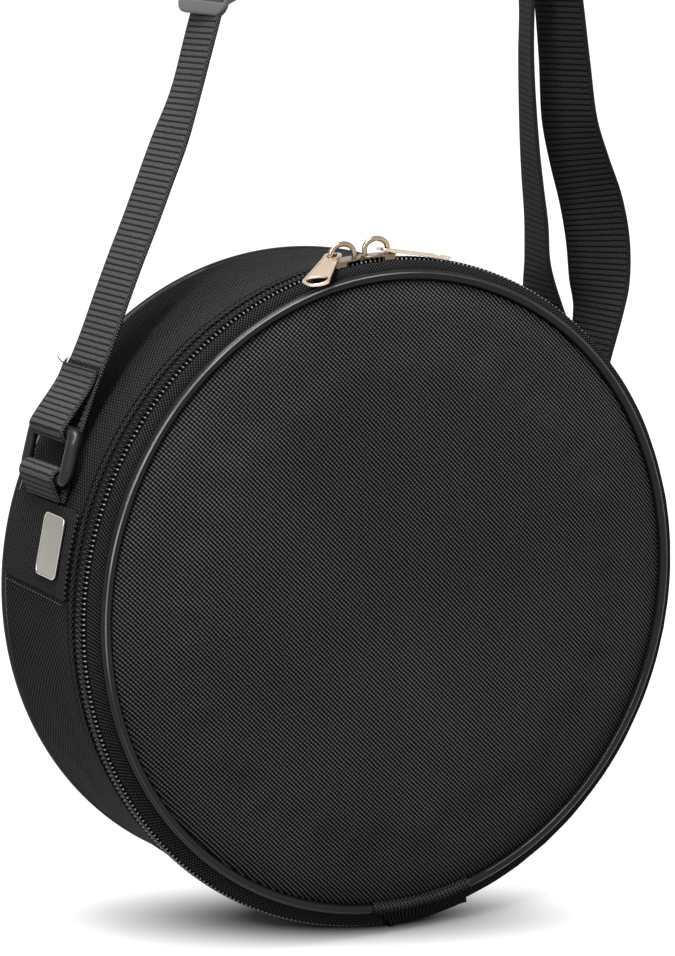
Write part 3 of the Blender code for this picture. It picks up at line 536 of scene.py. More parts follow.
# Tri-glide: the rings' black moulding painted a lighter grey, a painted highlight for the light on its face
adjuster_lit_plastic = smooth_look("adjuster plastic", (0.075, 0.075, 0.074), (0.100, 0.100, 0.098),
                               roughness=0.45, grain_scale=2500.0, relief=0.00003, specular=0.25)
gold_metal = metal_look("polished pale gold", (0.56, 0.44, 0.33), (0.82, 0.68, 0.52), 0.16, 700.0)
gold_face = metal_look("satin pale gold", (0.58, 0.46, 0.34), (0.70, 0.57, 0.43), 0.36, 1400.0, 0.00001)
# Bail wire: the pulls' gold painted darker, as painted shade and a painted reflection of the dark bag
shaded_gold_wire = metal_look("gold with painted shade", (0.22, 0.165, 0.115), (0.50, 0.385, 0.275), 0.20, 700.0)
# Slider body: the gold painted much darker, as painted shade and a painted reflection of the dark bag
shaded_slider_gold = metal_look("slider gold", (0.10, 0.075, 0.052), (0.30, 0.23, 0.165), 0.30, 900.0)
badge_metal = metal_look("satin metal", (0.260, 0.244, 0.218), (0.330, 0.310, 0.280), 0.36, 1800.0)
# Badge rim: the plate's metal painted lighter, a painted highlight on its edge
badge_rim_highlight = metal_look("bright metal edge", (0.42, 0.405, 0.38), (0.52, 0.50, 0.47), 0.22, 1800.0)
thread = smooth_look("sewing thread", (0.020, 0.020, 0.021), (0.085, 0.085, 0.087),
                     roughness=0.6, grain_scale=3000.0, relief=0.00003, specular=0.1)


def tooth_look(name, light):
    """Nylon coil: a painted highlight on the bend at each tooth's root and a faint one on its head; the rest
    stays black.
    """
    look = Look(name, 0.25, specular=0.15)
    _, share, _ = look.cloth()
    bend = look.clamp_range(share, 0.03, 0.13, 1.0, 0.0)
    head = look.clamp_range(share, 0.86, 1.0, 0.0, 0.10)
    painted_shine = look.math("MAXIMUM", bend, head)
    grain = look.noise(look.place(), 1500.0, 1.0)
    painted_shine = look.math("MULTIPLY", painted_shine, look.math("MULTIPLY_ADD", grain, 1.1, 0.45))
    look.colour(look.mix(painted_shine, (0.003, 0.003, 0.0033), (light, light, light)))
    look.roughness(look.math("MULTIPLY_ADD", grain, 0.2, 0.18))
    return look.material


# The front coil's painted highlight is brighter than the rear coil's
front_teeth_plastic = tooth_look("front zip coil", 0.27)
rear_teeth_plastic = tooth_look("rear zip coil", 0.080)


# Shapes

def clamped(value):
    return min(max(value, 0.0), 1.0)


def eased(value):
    """0 to 1, starting and ending softly."""
    value = clamped(value)
    return value * value * (3 - 2 * value)


def drawn_in(x, y, z):
    """A bag point, after the piping's seam has drawn the lid's front edge in and up a little."""
    near = clamped((front_shift_end - y) / (front_shift_end - front_shift_start))
    pull = near * (math.hypot(x, z) / disc_radius) ** 3
    size = 1 - pull * front_shrink / disc_radius
    return bag_origin + Vector((x * size + front_shift[0] * pull, y, z * size + front_shift[1] * pull))


def polar(radius, angle, y):
    """A point round the disc's axis, the angle running from +X towards +Z."""
    turn = math.radians(angle)
    return drawn_in(radius * math.cos(turn), y, radius * math.sin(turn))


def hermite(start, end, leave, arrive, t):
    """A cubic's value at t, from its two ends and its slopes there."""
    return (start * (2 * t ** 3 - 3 * t * t + 1) + leave * (t ** 3 - 2 * t * t + t)
            + end * (3 * t * t - 2 * t ** 3) + arrive * (t ** 3 - t * t))


def standing(x_axis, y_axis, z_axis, place):
    """The matrix of a thing at a place, with its axes along three directions."""
    return Matrix.Translation(place) @ Matrix((x_axis, y_axis, z_axis)).transposed().to_4x4()


def add_object(name, data):
    thing = bpy.data.objects.new(name, data)
    bpy.context.collection.objects.link(thing)
    return thing


def smooth_at(places, values, place):
    """The value at a place, on a monotone cubic through the given points."""
    slopes = [(b - a) / (d - c) for a, b, c, d in zip(values, values[1:], places, places[1:])]
    ends = [slopes[0], *[0 if a * b <= 0 else 2 * a * b / (a + b) for a, b in zip(slopes, slopes[1:])],
            slopes[-1]]
    for index in range(len(slopes)):
        if place <= places[index + 1] or index == len(slopes) - 1:
            width = places[index + 1] - places[index]
            t = clamped((place - places[index]) / width)
            return hermite(values[index], values[index + 1], ends[index] * width, ends[index + 1] * width, t)
    return values[-1]


def finish_piece(name, mesh, look, body):
    """Link a new piece with even outward faces, its look and its body."""
    bm = bmesh.new()
    bm.from_mesh(mesh)
    bmesh.ops.recalc_face_normals(bm, faces=bm.faces)
    bm.to_mesh(mesh)
    bm.free()
    mesh.materials.append(look)
    mesh.shade_smooth()
    mesh.set_sharp_from_angle(angle=math.radians(sharp_angle))
    piece = add_object(name, mesh)
    if body:
        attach(piece, body)
    return piece


def make_mesh(name, points, faces, corners):
    """A mesh whose cloth coordinates are given for each corner of each face."""
    mesh = bpy.data.meshes.new(name)
    mesh.from_pydata([tuple(point) for point in points], [], faces)
    layer = mesh.uv_layers.new(name="cloth")
    layer.data.foreach_set("uv", [value for face in corners for pair in face for value in pair])
    return mesh


def loft(name, loops, stations, spans, look, body, ring=False):
    """Skin over closed loops. Stations run along them, spans round each loop."""
    count = len(loops[0])
    points = [point for loop in loops for point in loop]
    faces = []
    corners = []
    rows = len(loops) if ring else len(loops) - 1
    for row in range(rows):
        after = (row + 1) % len(loops)
        for column in range(count):
            following = (column + 1) % count
            faces.append((row * count + column, after * count + column,
                          after * count + following, row * count + following))
            near, far = stations[row], stations[row + 1]
            first, second = spans[column], spans[following]
            corners.append(((first, near), (first, far), (second, far), (second, near)))
    if not ring:
        for row, station in ((0, stations[0]), (len(loops) - 1, stations[-1])):
            faces.append([row * count + column for column in range(count)])
            corners.append([(span, station) for span in spans])
    return finish_piece(name, make_mesh(name, points, faces, corners), look, body)


def curve_line(points, steps):
    """A denser (y, radius) line through the points on a Catmull-Rom curve."""
    keys = [Vector(point) for point in points]
    keys = [keys[0] * 2 - keys[1], *keys, keys[-1] * 2 - keys[-2]]
    line = []
    for a, b, c, d in zip(keys, keys[1:], keys[2:], keys[3:]):
        for step in range(steps):
            t = step / steps
            line.append(0.5 * (2 * b + (c - a) * t + (2 * a - 5 * b + 4 * c - d) * t * t
                               + (3 * b - a - 3 * c + d) * t ** 3))
    line.append(keys[-2])
    return line


def band_loop(line, thickness):
    """A closed loop round a (y, radius) line, thick towards the axis, with rounded ends."""
    outer = []
    inner = []
    spans = []
    run = 0.0
    for index, point in enumerate(line):
        before = line[max(index - 1, 0)]
        after = line[min(index + 1, len(line) - 1)]
        along = (after - before).normalized()
        inward = Vector((along.y, -along.x))
        if index:
            run += (point - line[index - 1]).length
        outer.append(point)
        inner.append(point + inward * thickness)
        spans.append(run)
    first = (line[1] - line[0]).normalized()
    last = (line[-1] - line[-2]).normalized()
    start_nose = (outer[0] + inner[0]) / 2 - first * thickness * 0.35
    end_nose = (outer[-1] + inner[-1]) / 2 + last * thickness * 0.35
    loop = [start_nose, *outer, end_nose, *inner[::-1]]
    return loop, [0.0, *spans, run, *spans[::-1]]


def revolve(name, loop, spans, look, body, start=0.0, sweep=360.0, steps=360, shape=None, skew=None):
    """Turn a closed (y, radius) loop about the disc's axis. Shape moves its points, skew turns them."""
    whole = sweep >= 360
    count = max(4, round(steps * sweep / 360))
    angles = [start + sweep * step / count for step in range(count + 1)]
    loops = []
    for angle in angles[:-1] if whole else angles:
        ring = []
        for index, (y, radius) in enumerate(loop):
            if shape:
                y, radius = shape(y, radius, angle, index)
            ring.append(polar(radius, angle + (skew(y, angle) if skew else 0.0), y))
        loops.append(ring)
    stations = [math.radians(angle) * disc_radius for angle in angles]
    return loft(name, loops, stations, spans, look, body, whole)


def ripple(angle, y, seed, size, waves):
    """Smooth chance variation round the bag, the same at 0 and 360 degrees."""
    turn = math.radians(angle)
    return noise.noise(Vector((math.cos(turn) * waves, math.sin(turn) * waves, y * 40 + seed))) * size


def wire_loop(middle, radius, sides):
    """A round (y, radius) loop and its spans."""
    turns = [math.tau * side / sides for side in range(sides)]
    loop = [middle + Vector((radius * math.cos(turn), radius * math.sin(turn))) for turn in turns]
    return loop, [radius * turn for turn in turns]


def join_meshes(name, parts, look, body):
    """One piece from many small (points, faces, shares) parts."""
    points = []
    faces = []
    shares = []
    for part_points, part_faces, part_shares in parts:
        base = len(points)
        points += part_points
        shares += part_shares
        faces += [[base + corner for corner in face] for face in part_faces]
    corners = [[(shares[corner], 0.0) for corner in face] for face in faces]
    return finish_piece(name, make_mesh(name, points, faces, corners), look, body)


def rod_faces(rings, sides):
    """The faces of a closed rod, from its rings of points."""
    faces = []
    for row in range(rings - 1):
        for side in range(sides):
            following = (side + 1) % sides
            faces.append((row * sides + side, row * sides + following,
                          (row + 1) * sides + following, (row + 1) * sides + side))
    return [*faces, list(range(sides)), [(rings - 1) * sides + side for side in range(sides)]]


def capsule(start, end, up, radius, sides=6, flat=1.0):
    """A short rounded rod between two points, as points, faces and shares."""
    along = (end - start).normalized()
    across = along.cross(up).normalized()
    over = across.cross(along)
    length = (end - start).length
    points = []
    shares = []
    for share, size in rod_end_shares:
        centre = start + along * (length * share)
        for side in range(sides):
            turn = math.tau * side / sides
            points.append(centre + across * (radius * size * math.cos(turn))
                          + over * (radius * size * flat * math.sin(turn)))
            shares.append(share)
    return points, rod_faces(len(rod_end_shares), sides), shares


def stitch_row(path, length, gap, radius):
    """Stitches along (point, up) places, as small rods that end in the cloth."""
    parts = []
    room = gap / 2
    for (start, up), (end, _) in zip(path, path[1:]):
        step = end - start
        distance = step.length
        while room + length <= distance:
            a = start + step * (room / distance)
            b = start + step * ((room + length) / distance)
            parts.append(capsule(a, b, up, radius))
            room += length + gap
        room = max(room - distance, 0.0)
    return parts


def flat_plate(outlines, low, high, soft, place):
    """A plate with holes and rounded edges, from (x, y) outlines, set between two heights."""
    curve = bpy.data.curves.new("outline", "CURVE")
    curve.dimensions = "2D"
    curve.fill_mode = "BOTH"
    curve.extrude = (high - low) / 2 - soft
    curve.bevel_depth = soft
    curve.bevel_resolution = 3
    curve.offset = -soft
    for outline in outlines:
        spline = curve.splines.new("POLY")
        spline.points.add(len(outline) - 1)
        for point, (x, y) in zip(spline.points, outline):
            point.co = (x, y, 0, 1)
        spline.use_cyclic_u = True
    holder = add_object("outline", curve)
    mesh = bpy.data.meshes.new_from_object(holder.evaluated_get(bpy.context.evaluated_depsgraph_get()))
    bpy.data.objects.remove(holder)
    mesh.transform(place @ Matrix.Translation((0, 0, (low + high) / 2)))
    return mesh


def join_plates(name, plates, look, body):
    """One piece from several meshes."""
    bm = bmesh.new()
    for plate in plates:
        bm.from_mesh(plate)
    bmesh.ops.remove_doubles(bm, verts=bm.verts, dist=merge_distance)
    mesh = bpy.data.meshes.new(name)
    bm.to_mesh(mesh)
    bm.free()
    return finish_piece(name, mesh, look, body)


def rounded_outline(half_x, half_y, corner, steps=8):
    points = []
    for side_x, side_y, first in ((1, 1, 0), (-1, 1, 90), (-1, -1, 180), (1, -1, 270)):
        for step in range(steps + 1):
            turn = math.radians(first + 90 * step / steps)
            points.append((side_x * (half_x - corner) + corner * math.cos(turn),
                           side_y * (half_y - corner) + corner * math.sin(turn)))
    return points


def tube(path, side, radius, flat, sides=14):
    """A closed rod along a path of points, as a mesh. Side is the direction across the path."""
    bm = bmesh.new()
    loops = []
    for index, point in enumerate(path):
        along = (path[min(index + 1, len(path) - 1)] - path[max(index - 1, 0)]).normalized()
        over = along.cross(side).normalized()
        loops.append([bm.verts.new(point + over * (radius * flat * math.cos(math.tau * step / sides))
                                   + side * (radius * math.sin(math.tau * step / sides)))
                      for step in range(sides)])
    for first, second in zip(loops, loops[1:]):
        for step in range(sides):
            following = (step + 1) % sides
            bm.faces.new((first[step], first[following], second[following], second[step]))
    bm.faces.new(loops[0])
    bm.faces.new(loops[-1])
    mesh = bpy.data.meshes.new("tube")
    bm.to_mesh(mesh)
    bm.free()
    return mesh


def fibre(points, radius, sides=4):
    """A loose thread that tapers along its points, as points, faces and shares."""
    made = []
    shares = []
    last = len(points) - 1
    for index, point in enumerate(points):
        along = (points[min(index + 1, last)] - points[max(index - 1, 0)]).normalized()
        across = along.cross(Vector((0.3, 0.8, 0.5))).normalized()
        over = across.cross(along)
        size = radius * (1 - 0.6 * index / last)
        for side in range(sides):
            turn = math.tau * side / sides
            made.append(point + across * (size * math.cos(turn)) + over * (size * math.sin(turn)))
            shares.append(index / last)
    return made, rod_faces(len(points), sides), shares


def swell(piece, held_points):
    """The pad's free face swells as cloth under pressure, and its moved points are kept."""
    rest = [vertex.co.copy() for vertex in piece.data.vertices]
    held = piece.vertex_groups.new(name="held")
    held.add(held_points, 1.0, "REPLACE")
    cloth = piece.modifiers.new("Swell", "CLOTH")
    cloth.collision_settings.use_collision = False
    settings = cloth.settings
    settings.vertex_group_mass = held.name
    settings.quality = 5
    settings.mass = 0.3
    settings.tension_stiffness = 12
    settings.compression_stiffness = 12
    settings.bending_stiffness = 0.6
    settings.use_pressure = True
    settings.uniform_pressure_force = swell_pressure
    settings.effector_weights.gravity = 0
    scene = bpy.context.scene
    for number in range(1, swell_frames + 1):
        scene.frame_set(number)
    moved = piece.evaluated_get(bpy.context.evaluated_depsgraph_get()).to_mesh()
    points = [vertex.co.copy() for vertex in moved.vertices]
    piece.modifiers.remove(cloth)
    scene.frame_set(1)
    for vertex, start, end in zip(piece.data.vertices, rest, points):
        step = end - start
        if step.length > swell_room:
            step *= swell_room / step.length
        vertex.co = start + step
    piece.data.update()


# Panels

def round_mesh(rings):
    """Even triangles over a unit disc: ring k holds 6k points."""
    points = [(0.0, 0.0)]
    for ring in range(1, rings + 1):
        for step in range(6 * ring):
            turn = math.tau * step / (6 * ring)
            points.append((ring / rings * math.cos(turn), ring / rings * math.sin(turn)))

    def number(ring, step):
        return 0 if ring == 0 else 1 + 3 * ring * (ring - 1) + step % (6 * ring)

    faces = []
    for ring in range(1, rings + 1):
        for sector in range(6):
            for step in range(ring):
                inner = number(ring - 1, sector * (ring - 1) + step)
                outer = number(ring, sector * ring + step)
                next_outer = number(ring, sector * ring + step + 1)
                faces.append((inner, outer, next_outer))
                if step < ring - 1:
                    faces.append((inner, next_outer, number(ring - 1, sector * (ring - 1) + step + 1)))
    return points, faces


def round_pad(name, rim, front, back, look, body):
    """A closed round pad between two surfaces given as y at (x, z)."""
    shares, triangles = round_mesh(panel_rings)
    flat = [(rim * x, rim * z) for x, z in shares]
    count = len(flat)
    points = [drawn_in(x, face(x, z), z) for face in (front, back) for x, z in flat]
    faces = [tuple(face) for face in triangles]
    faces += [tuple(count + corner for corner in face[::-1]) for face in triangles]
    edge = list(range(count - 6 * panel_rings, count))
    for first, second in zip(edge, edge[1:] + edge[:1]):
        faces.append((first, count + first, count + second, second))
    corners = [[flat[corner % count] for corner in face] for face in faces]
    return finish_piece(name, make_mesh(name, points, faces, corners), look, body)


def unevenness(x, z, seed):
    """Slight hollows and swells of a padded panel, in metres."""
    return noise.noise(Vector((x * 26, z * 26, seed))) * panel_hollow


def front_surface(x, z):
    radius = math.hypot(x, z)
    rise = smooth_at(dome_radius_shares, dome_rise_shares, radius / panel_rim) * (dome_height - swell_room)
    return -rise * (1 + unevenness(x, z, 3.1) / swell_room * 0.1)


def rear_surface(x, z):
    radius = math.hypot(x, z)
    low = bag_depth + rear_rise - swell_room
    return smooth_at([0, rear_flat, panel_rim], [low, low, bag_depth], radius) + unevenness(x, z, 7.7) * 0.5


def build_panels():
    outside = len(round_mesh(panel_rings)[0])
    held = list(range(outside - 6 * panel_rings, 2 * outside))
    for word, body, surface, inward, fill in (("front", "lid", front_surface, 1, 0.6),
                                              ("rear", "bag", rear_surface, -1, 0.5)):
        def under(depth, surface=surface, inward=inward):
            return lambda x, z: surface(x, z) + inward * depth

        pad = round_pad(word + "_padded_panel", panel_rim, surface, under(panel_depth), panel_weave,
                        body)
        swell(pad, held)
        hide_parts(word + "_panel_fabric", word + "_panel_foam")
        seat = panel_depth + clearance
        lining = round_pad(word + "_lining_cloth", foam_rim, under(seat), under(seat + lining_thickness),
                           lining_weave, body)
        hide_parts(word + "_panel_lining")


# Rim: piping, bindings, gussets

def lid_gusset_line():
    low = disc_radius - clearance
    rise = tape_outer + fabric_thickness + clearance - low
    return [Vector((lid_start + (lid_edge - lid_start) * along, low + rise * up))
            for along, up in zip(lid_gusset_depth_shares, lid_gusset_rise_shares)]


def gusset_radius(y):
    depths = [gusset_edge + share * (gusset_rear - gusset_edge) for share in gusset_depth_shares]
    radii = [disc_radius + share * zip_rise for share in gusset_rise_shares]
    return smooth_at(depths, radii, y)


def hinge_share(angle, overrun=0.0):
    """1 within the hinge's arc on the front piping, smoothly 0 outside it."""
    low = hinge_angle - hinge_half - hinge_front_reach
    high = hinge_angle + hinge_half
    away = max(low - angle, angle - high) - overrun
    return eased(1 - away / hinge_ease)


def squeezed_piping(y, radius, angle, index):
    """The front piping is drawn in where the hinge strip binds it."""
    size = 1 - 0.28 * hinge_share(angle, -0.6)
    return y * size, disc_radius + (radius - disc_radius) * size


def build_rim():
    for name, node, y, body in (("front_piping_cord", "front_piping", 0.0, "lid"),
                                ("rear_piping_cord", "rear_piping", bag_depth, "bag")):
        loop, spans = wire_loop(Vector((y, disc_radius)), piping_radius, 24)
        squeeze = squeezed_piping if body == "lid" else None
        piece = revolve(name, loop, spans, piping_gloss, body, steps=720, shape=squeeze)
        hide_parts(node)
    outer = panel_rim - clearance
    for name, node, y, body in (
            ("front_edge_binding", "front_seam_binding", binding_setback, "lid"),
            ("rear_edge_binding", "rear_seam_binding", bag_depth - binding_setback - binding_width, "bag")):
        middle = Vector((y + binding_width / 2, outer - binding_height / 2))
        loop, spans = wire_loop(middle, binding_height / 2, 16)
        piece = revolve(name, loop, spans, binding_cloth, body, steps=240)
        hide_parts(node)

    loop, spans = band_loop(curve_line(lid_gusset_line(), 4), fabric_thickness)
    lid_strip = revolve("lid_gusset_strip", loop, spans, lid_gusset_weave, "lid", steps=540,
                        shape=lid_slack)
    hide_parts("lid_gusset_fabric")

    steps = 24
    depths = [gusset_edge + (gusset_rear - gusset_edge) * step / steps for step in range(steps + 1)]
    line = [Vector((y, gusset_radius(y))) for y in depths]
    line.insert(0, Vector((gusset_edge - gusset_lip[0], line[0].y - gusset_lip[1])))
    loop, spans = band_loop(line, fabric_thickness + gusset_foam)
    band = revolve("body_gusset_pad", loop, spans, gusset_weave, "bag", steps=540, shape=slack)
    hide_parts("body_gusset_fabric", "body_gusset_foam")
    inset = fabric_thickness + gusset_foam + 2 * clearance
    low, high = gusset_lining_span
    line = [Vector((y, gusset_radius(y) - inset)) for y in depths if low < y < high]
    loop, spans = band_loop(line, lining_thickness)
    lining = revolve("body_gusset_lining_cloth", loop, spans, lining_weave, "bag", steps=180)
    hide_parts("body_gusset_lining")


def lid_slack(y, radius, angle, index):
    return y, radius - abs(ripple(angle, y, 2.0, lid_band_hollow, 9))


def slack(y, radius, angle, index):
    """The side band is a little hollow between its seams, unevenly."""
    share = math.sin(math.pi * clamped((y - gusset_edge) / (gusset_rear - gusset_edge)))
    return y, radius - share * abs(ripple(angle, y, 5.0, band_hollow, 5))


def build_zip():
    start = hinge_angle + hinge_half
    sweep = 360 - 2 * hinge_half
    lid_line = [*lid_tape_start, (lid_tape_flat, tape_outer), (lid_tape_rear, tape_outer)]
    body_line = [(body_tape_front, tape_outer), (gusset_edge - clearance, tape_outer),
                 (body_tape_rear, tape_outer - body_tape_fall)]
    for word, line, body in (("lid", lid_line, "lid"), ("body", body_line, "bag")):
        loop, spans = band_loop([Vector(point) for point in line], tape_thickness)
        piece = revolve(word + "_tape_band", loop, spans, tape_cloth, body, start, sweep)
        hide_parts(word + "_zip_tape")

    count = round(math.radians(sweep) * coil_outer / tooth_pitch)
    middle = (coil_inner + coil_outer) / 2
    for word, body, root, head, offset, look in (
            ("lid", "lid", lid_coil_front, lid_tooth_head, 0.0, front_teeth_plastic),
            ("body", "bag", body_coil_rear - body_tooth_inset, body_tooth_head, 0.5, rear_teeth_plastic)):
        parts = []
        for tooth in range(count):
            angle = start + sweep * (tooth + 0.25 + offset) / count
            parts.append(capsule(polar(middle, angle, root), polar(middle, angle, head), outward(angle),
                                 tooth_radius, 8, 1.5))
        piece = join_meshes(word + "_zip_teeth", parts, look, body)
        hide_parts(word + "_zip_coil")


def hinge_line():
    """The hinge strip's outer (y, radius) line, from under the front piping to behind the zip."""
    top = coil_outer + hinge_gap + fabric_thickness
    over_edge = gusset_radius(gusset_edge) + hinge_gap + fabric_thickness
    over_piping = [(-hinge_skin * math.cos(turn), disc_radius + hinge_skin * math.sin(turn))
                   for turn in (-0.6, -0.1, math.pi / 6, math.pi / 3, math.pi / 2)]
    start, *rise = [(y, disc_radius + up) for y, up in hinge_rise]
    line = [start, *over_piping, *rise, (lid_coil_front, top), (0.5 * (lid_coil_front + body_coil_rear), top),
            (body_coil_rear, top), (gusset_edge, max(over_edge, top)), (hinge_reach, over_edge)]
    return curve_line([Vector(point) for point in line], 5)


def hinge_slant(y, angle):
    """Degrees by which the strip's front part leans to the left, most at its left edge."""
    left = clamped((hinge_angle + hinge_half - angle) / (2 * hinge_half))
    return -hinge_front_reach * eased((hinge_slant_depth - y) / hinge_slant_depth) * left


def build_hinge():
    """Cloth strip over the piping and the zip, with slanting stitches and two folds."""
    loop, spans = band_loop(hinge_line(), fabric_thickness)

    def folds(y, radius, angle, index):
        share = (angle - hinge_angle) / hinge_half
        if y < fold_start:
            return y, radius
        depth = min((y - fold_start) / fold_ramp, 1.0)
        wave = math.sin(spans[index] * math.tau / fold_pitch + share * 2.2)
        end = clamped((abs(share) - 0.80) / 0.20)
        hollow = fold_depth * depth * (0.5 + 0.5 * wave) * (1 - end)
        return y, radius - hollow + fold_end_lift * depth * end

    patch = revolve("hinge_strip", loop, spans, lid_gusset_weave, None,
                    hinge_angle - hinge_half, 2 * hinge_half, steps=1440, shape=folds, skew=hinge_slant)
    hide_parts("hinge_patch")
    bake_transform(patch)

    parts = []
    skin = hinge_skin + hinge_stitch_lift
    for step in range(hinge_stitches):
        angle = hinge_angle - hinge_half + 2 * hinge_half * (step + 0.5) / hinge_stitches
        angle += hinge_slant(-hinge_skin, angle)
        points = [polar(disc_radius + skin * math.sin(turn), angle + drift, -skin * math.cos(turn))
                  for turn, drift in ((-0.9, 0.0), (-0.35, 0.18), (0.2, 0.36), (0.8, 0.54))]
        parts.append(fibre(points, hinge_stitch_radius))
    stitches = join_meshes("hinge_strip_stitches", parts, thread, None)
    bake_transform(stitches)


# Tabs, loops and rings

def mirrored(angle, side):
    return angle if side < 0 else 180 - angle


def ring_bars(side):
    radius = gusset_radius(strap_setback - webbing_width / 2) + 2 * clearance + webbing_thickness + ring_bar
    lower = polar(radius, mirrored(ring_angle, side), strap_setback) - bag_origin
    lean = math.radians(ring_lean)
    up = Vector((-side * math.sin(lean), 0, math.cos(lean)))
    return lower, lower + up * (ring_inner_height + 2 * ring_bar), up


def build_tabs():
    """Cloth tabs with a rounded front corner, swelled over the loop's legs, and their stitches."""
    depths = [tab_front + (tab_rear - tab_front) * step / 40 for step in range(41)]
    line = [Vector((y, gusset_radius(y) + clearance + tab_thickness)) for y in depths]
    loop, spans = band_loop(line, tab_thickness)
    for side, word in ((-1, "left"), (1, "right")):
        top, bottom = mirrored(tab_high_angle, side), mirrored(tab_low_angle, side)
        low, high = sorted((bottom, top))

        def tailored(y, radius, angle, index, top=top):
            away = abs(math.radians(angle - top)) * disc_radius
            from_corner = max(tab_corner - away, 0.0)
            cut = tab_corner - math.sqrt(tab_corner ** 2 - from_corner ** 2)
            place = tab_front + cut + (y - tab_front) * (tab_rear - tab_front - cut) / (tab_rear - tab_front)
            radius += gusset_radius(place) - gusset_radius(y)
            beside_legs = clamped((tab_swell_reach - abs(place - strap_setback)) / tab_swell_ease)
            near_top = max(1 - away / tab_swell_depth, 0.0)
            return place, radius + tab_swell * beside_legs * near_top ** 2

        tab = revolve(word + "_tab_cloth", loop, spans, tab_weave, "bag", low, high - low, 1440,
                      tailored)
        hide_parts(word + "_tab")

        lift = clearance + tab_thickness + tab_stitch_lift
        depth = tab_front + tab_stitch_inset
        turn = math.degrees(tab_stitch_inset / disc_radius)
        first, last = top + side * (turn + 1.6), bottom - side * turn
        marks = [first + (last - first) * step / 30 for step in range(31)]
        reach = [depth + (tab_rear - tab_stitch_inset - depth) * step / 20 for step in range(21)]
        rows = [[(polar(gusset_radius(depth) + lift, mark, depth), outward(mark)) for mark in marks],
                [(polar(gusset_radius(y) + lift, last, y), outward(last)) for y in reach]]
        parts = [part for row in rows for part in stitch_row(row, *tab_stitch)]
        join_meshes(word + "_tab_stitches", parts, thread, "bag")


def outward(angle):
    turn = math.radians(angle)
    return Vector((math.cos(turn), 0, math.sin(turn)))


def build_rings():
    """Moulded rings: round bars at top and bottom, and a wide bar on each side, the widest in front."""
    half_width = ring_inner_width / 2 + ring_bar
    half_height = ring_inner_height / 2 + ring_bar
    outline = rounded_outline(half_width, half_height, ring_corner, 10)
    path = []
    for start, end in zip(outline, outline[1:] + outline[:1]):
        pieces = max(1, round(math.dist(start, end) / ring_step))
        path += [(start[0] + (end[0] - start[0]) * step / pieces,
                  start[1] + (end[1] - start[1]) * step / pieces) for step in range(pieces)]
    turns = [math.tau * step / 32 for step in range(32)]
    spans = [ring_bar * turn for turn in turns]
    across = rearward
    for side, word in ((-1, "left"), (1, "right")):
        lower, upper, up = ring_bars(side)
        middle = (lower + upper) / 2 + bag_origin
        face = across.cross(up)
        loops = []
        stations = [0.0]
        for index, (x, y) in enumerate(path):
            before = path[index - 1]
            after = path[(index + 1) % len(path)]
            along = (across * (after[0] - before[0]) + up * (after[1] - before[1])).normalized()
            outwards = along.cross(face)
            centre = middle + across * x + up * y
            share = eased((abs(x) - half_width + ring_corner) / ring_corner)
            wide, out = ring_front_reach if x < 0 else ring_rear_reach
            half_face = ring_bar + (wide - ring_bar) * share
            loop = []
            for turn in turns:
                a, b = math.cos(turn), math.sin(turn)
                reach = ring_bar + ((out if a > 0 else ring_bar) - ring_bar) * share
                square = 1 - share * 0.10 * (2 * abs(a * b)) ** 2 * (1 if a > 0 else 0)
                loop.append(centre + outwards * (reach * a * square) + face * (half_face * b * square))
            loops.append(loop)
            stations.append(stations[-1] + math.dist((x, y), after))
        ring = loft(word + "_ring_moulding", loops, stations, spans, moulded, "bag", True)
        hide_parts(word + "_ring")


# Webbing

def smooth(points, turns):
    """A centripetal Catmull-Rom line through the points, with their turns."""
    keys = [Vector((*point, turn)) for point, turn in zip(points, turns)]
    gaps = [math.sqrt((b.xy - a.xy).length) for a, b in zip(keys, keys[1:])]
    slopes = [(b - a) / gap for a, b, gap in zip(keys, keys[1:], gaps)]
    tangents = [slopes[0]]
    for before, after, gap, next_gap in zip(slopes, slopes[1:], gaps, gaps[1:]):
        tangents.append((before * next_gap + after * gap) / (gap + next_gap))
    tangents.append(slopes[-1])
    line = []
    for start, end, leave, arrive, gap in zip(keys, keys[1:], tangents, tangents[1:], gaps):
        for step in range(strap_substeps):
            t = step / strap_substeps
            line.append(hermite(start, end, leave * gap, arrive * gap, t))
    line.append(keys[-1])
    return line


def arc(centre, start, end, radius, steps=8):
    turns = [math.radians(start + (end - start) * step / steps) for step in range(steps + 1)]
    return [(centre[0] + radius * math.cos(turn), centre[1] + radius * math.sin(turn)) for turn in turns]


def unit(first, second):
    return tuple(Vector((second[0] - first[0], second[1] - first[1])).normalized())


def beside(point, along, offset):
    return (point[0] + along[1] * offset, point[1] - along[0] * offset)


def offset_line(points, offset):
    moved = []
    for index, point in enumerate(points):
        along = unit(points[max(index - 1, 0)], points[min(index + 1, len(points) - 1)])
        moved.append(beside(point, along, -offset))
    return moved


def shares_to_points(shares):
    return [(disc_radius * x, disc_radius * z) for x, z in shares]


def along_adjuster(distance, offset=0.0):
    lean = math.radians(adjuster_lean)
    up = (math.sin(lean), math.cos(lean))
    centre = tuple(share * disc_radius for share in adjuster_shares)
    return beside((centre[0] + up[0] * distance, centre[1] + up[1] * distance), up, offset)


edge_shares = [-1.0, -0.988, -0.955, -0.90, -0.72, -0.48, -0.24, 0.0,
               0.24, 0.48, 0.72, 0.90, 0.955, 0.988, 1.0]
edge_heights = [0.0, 0.62, 0.96, 1.0, 1.0, 1.0, 1.0, 1.0, 1.0, 1.0, 1.0, 1.0, 0.96, 0.62, 0.0]


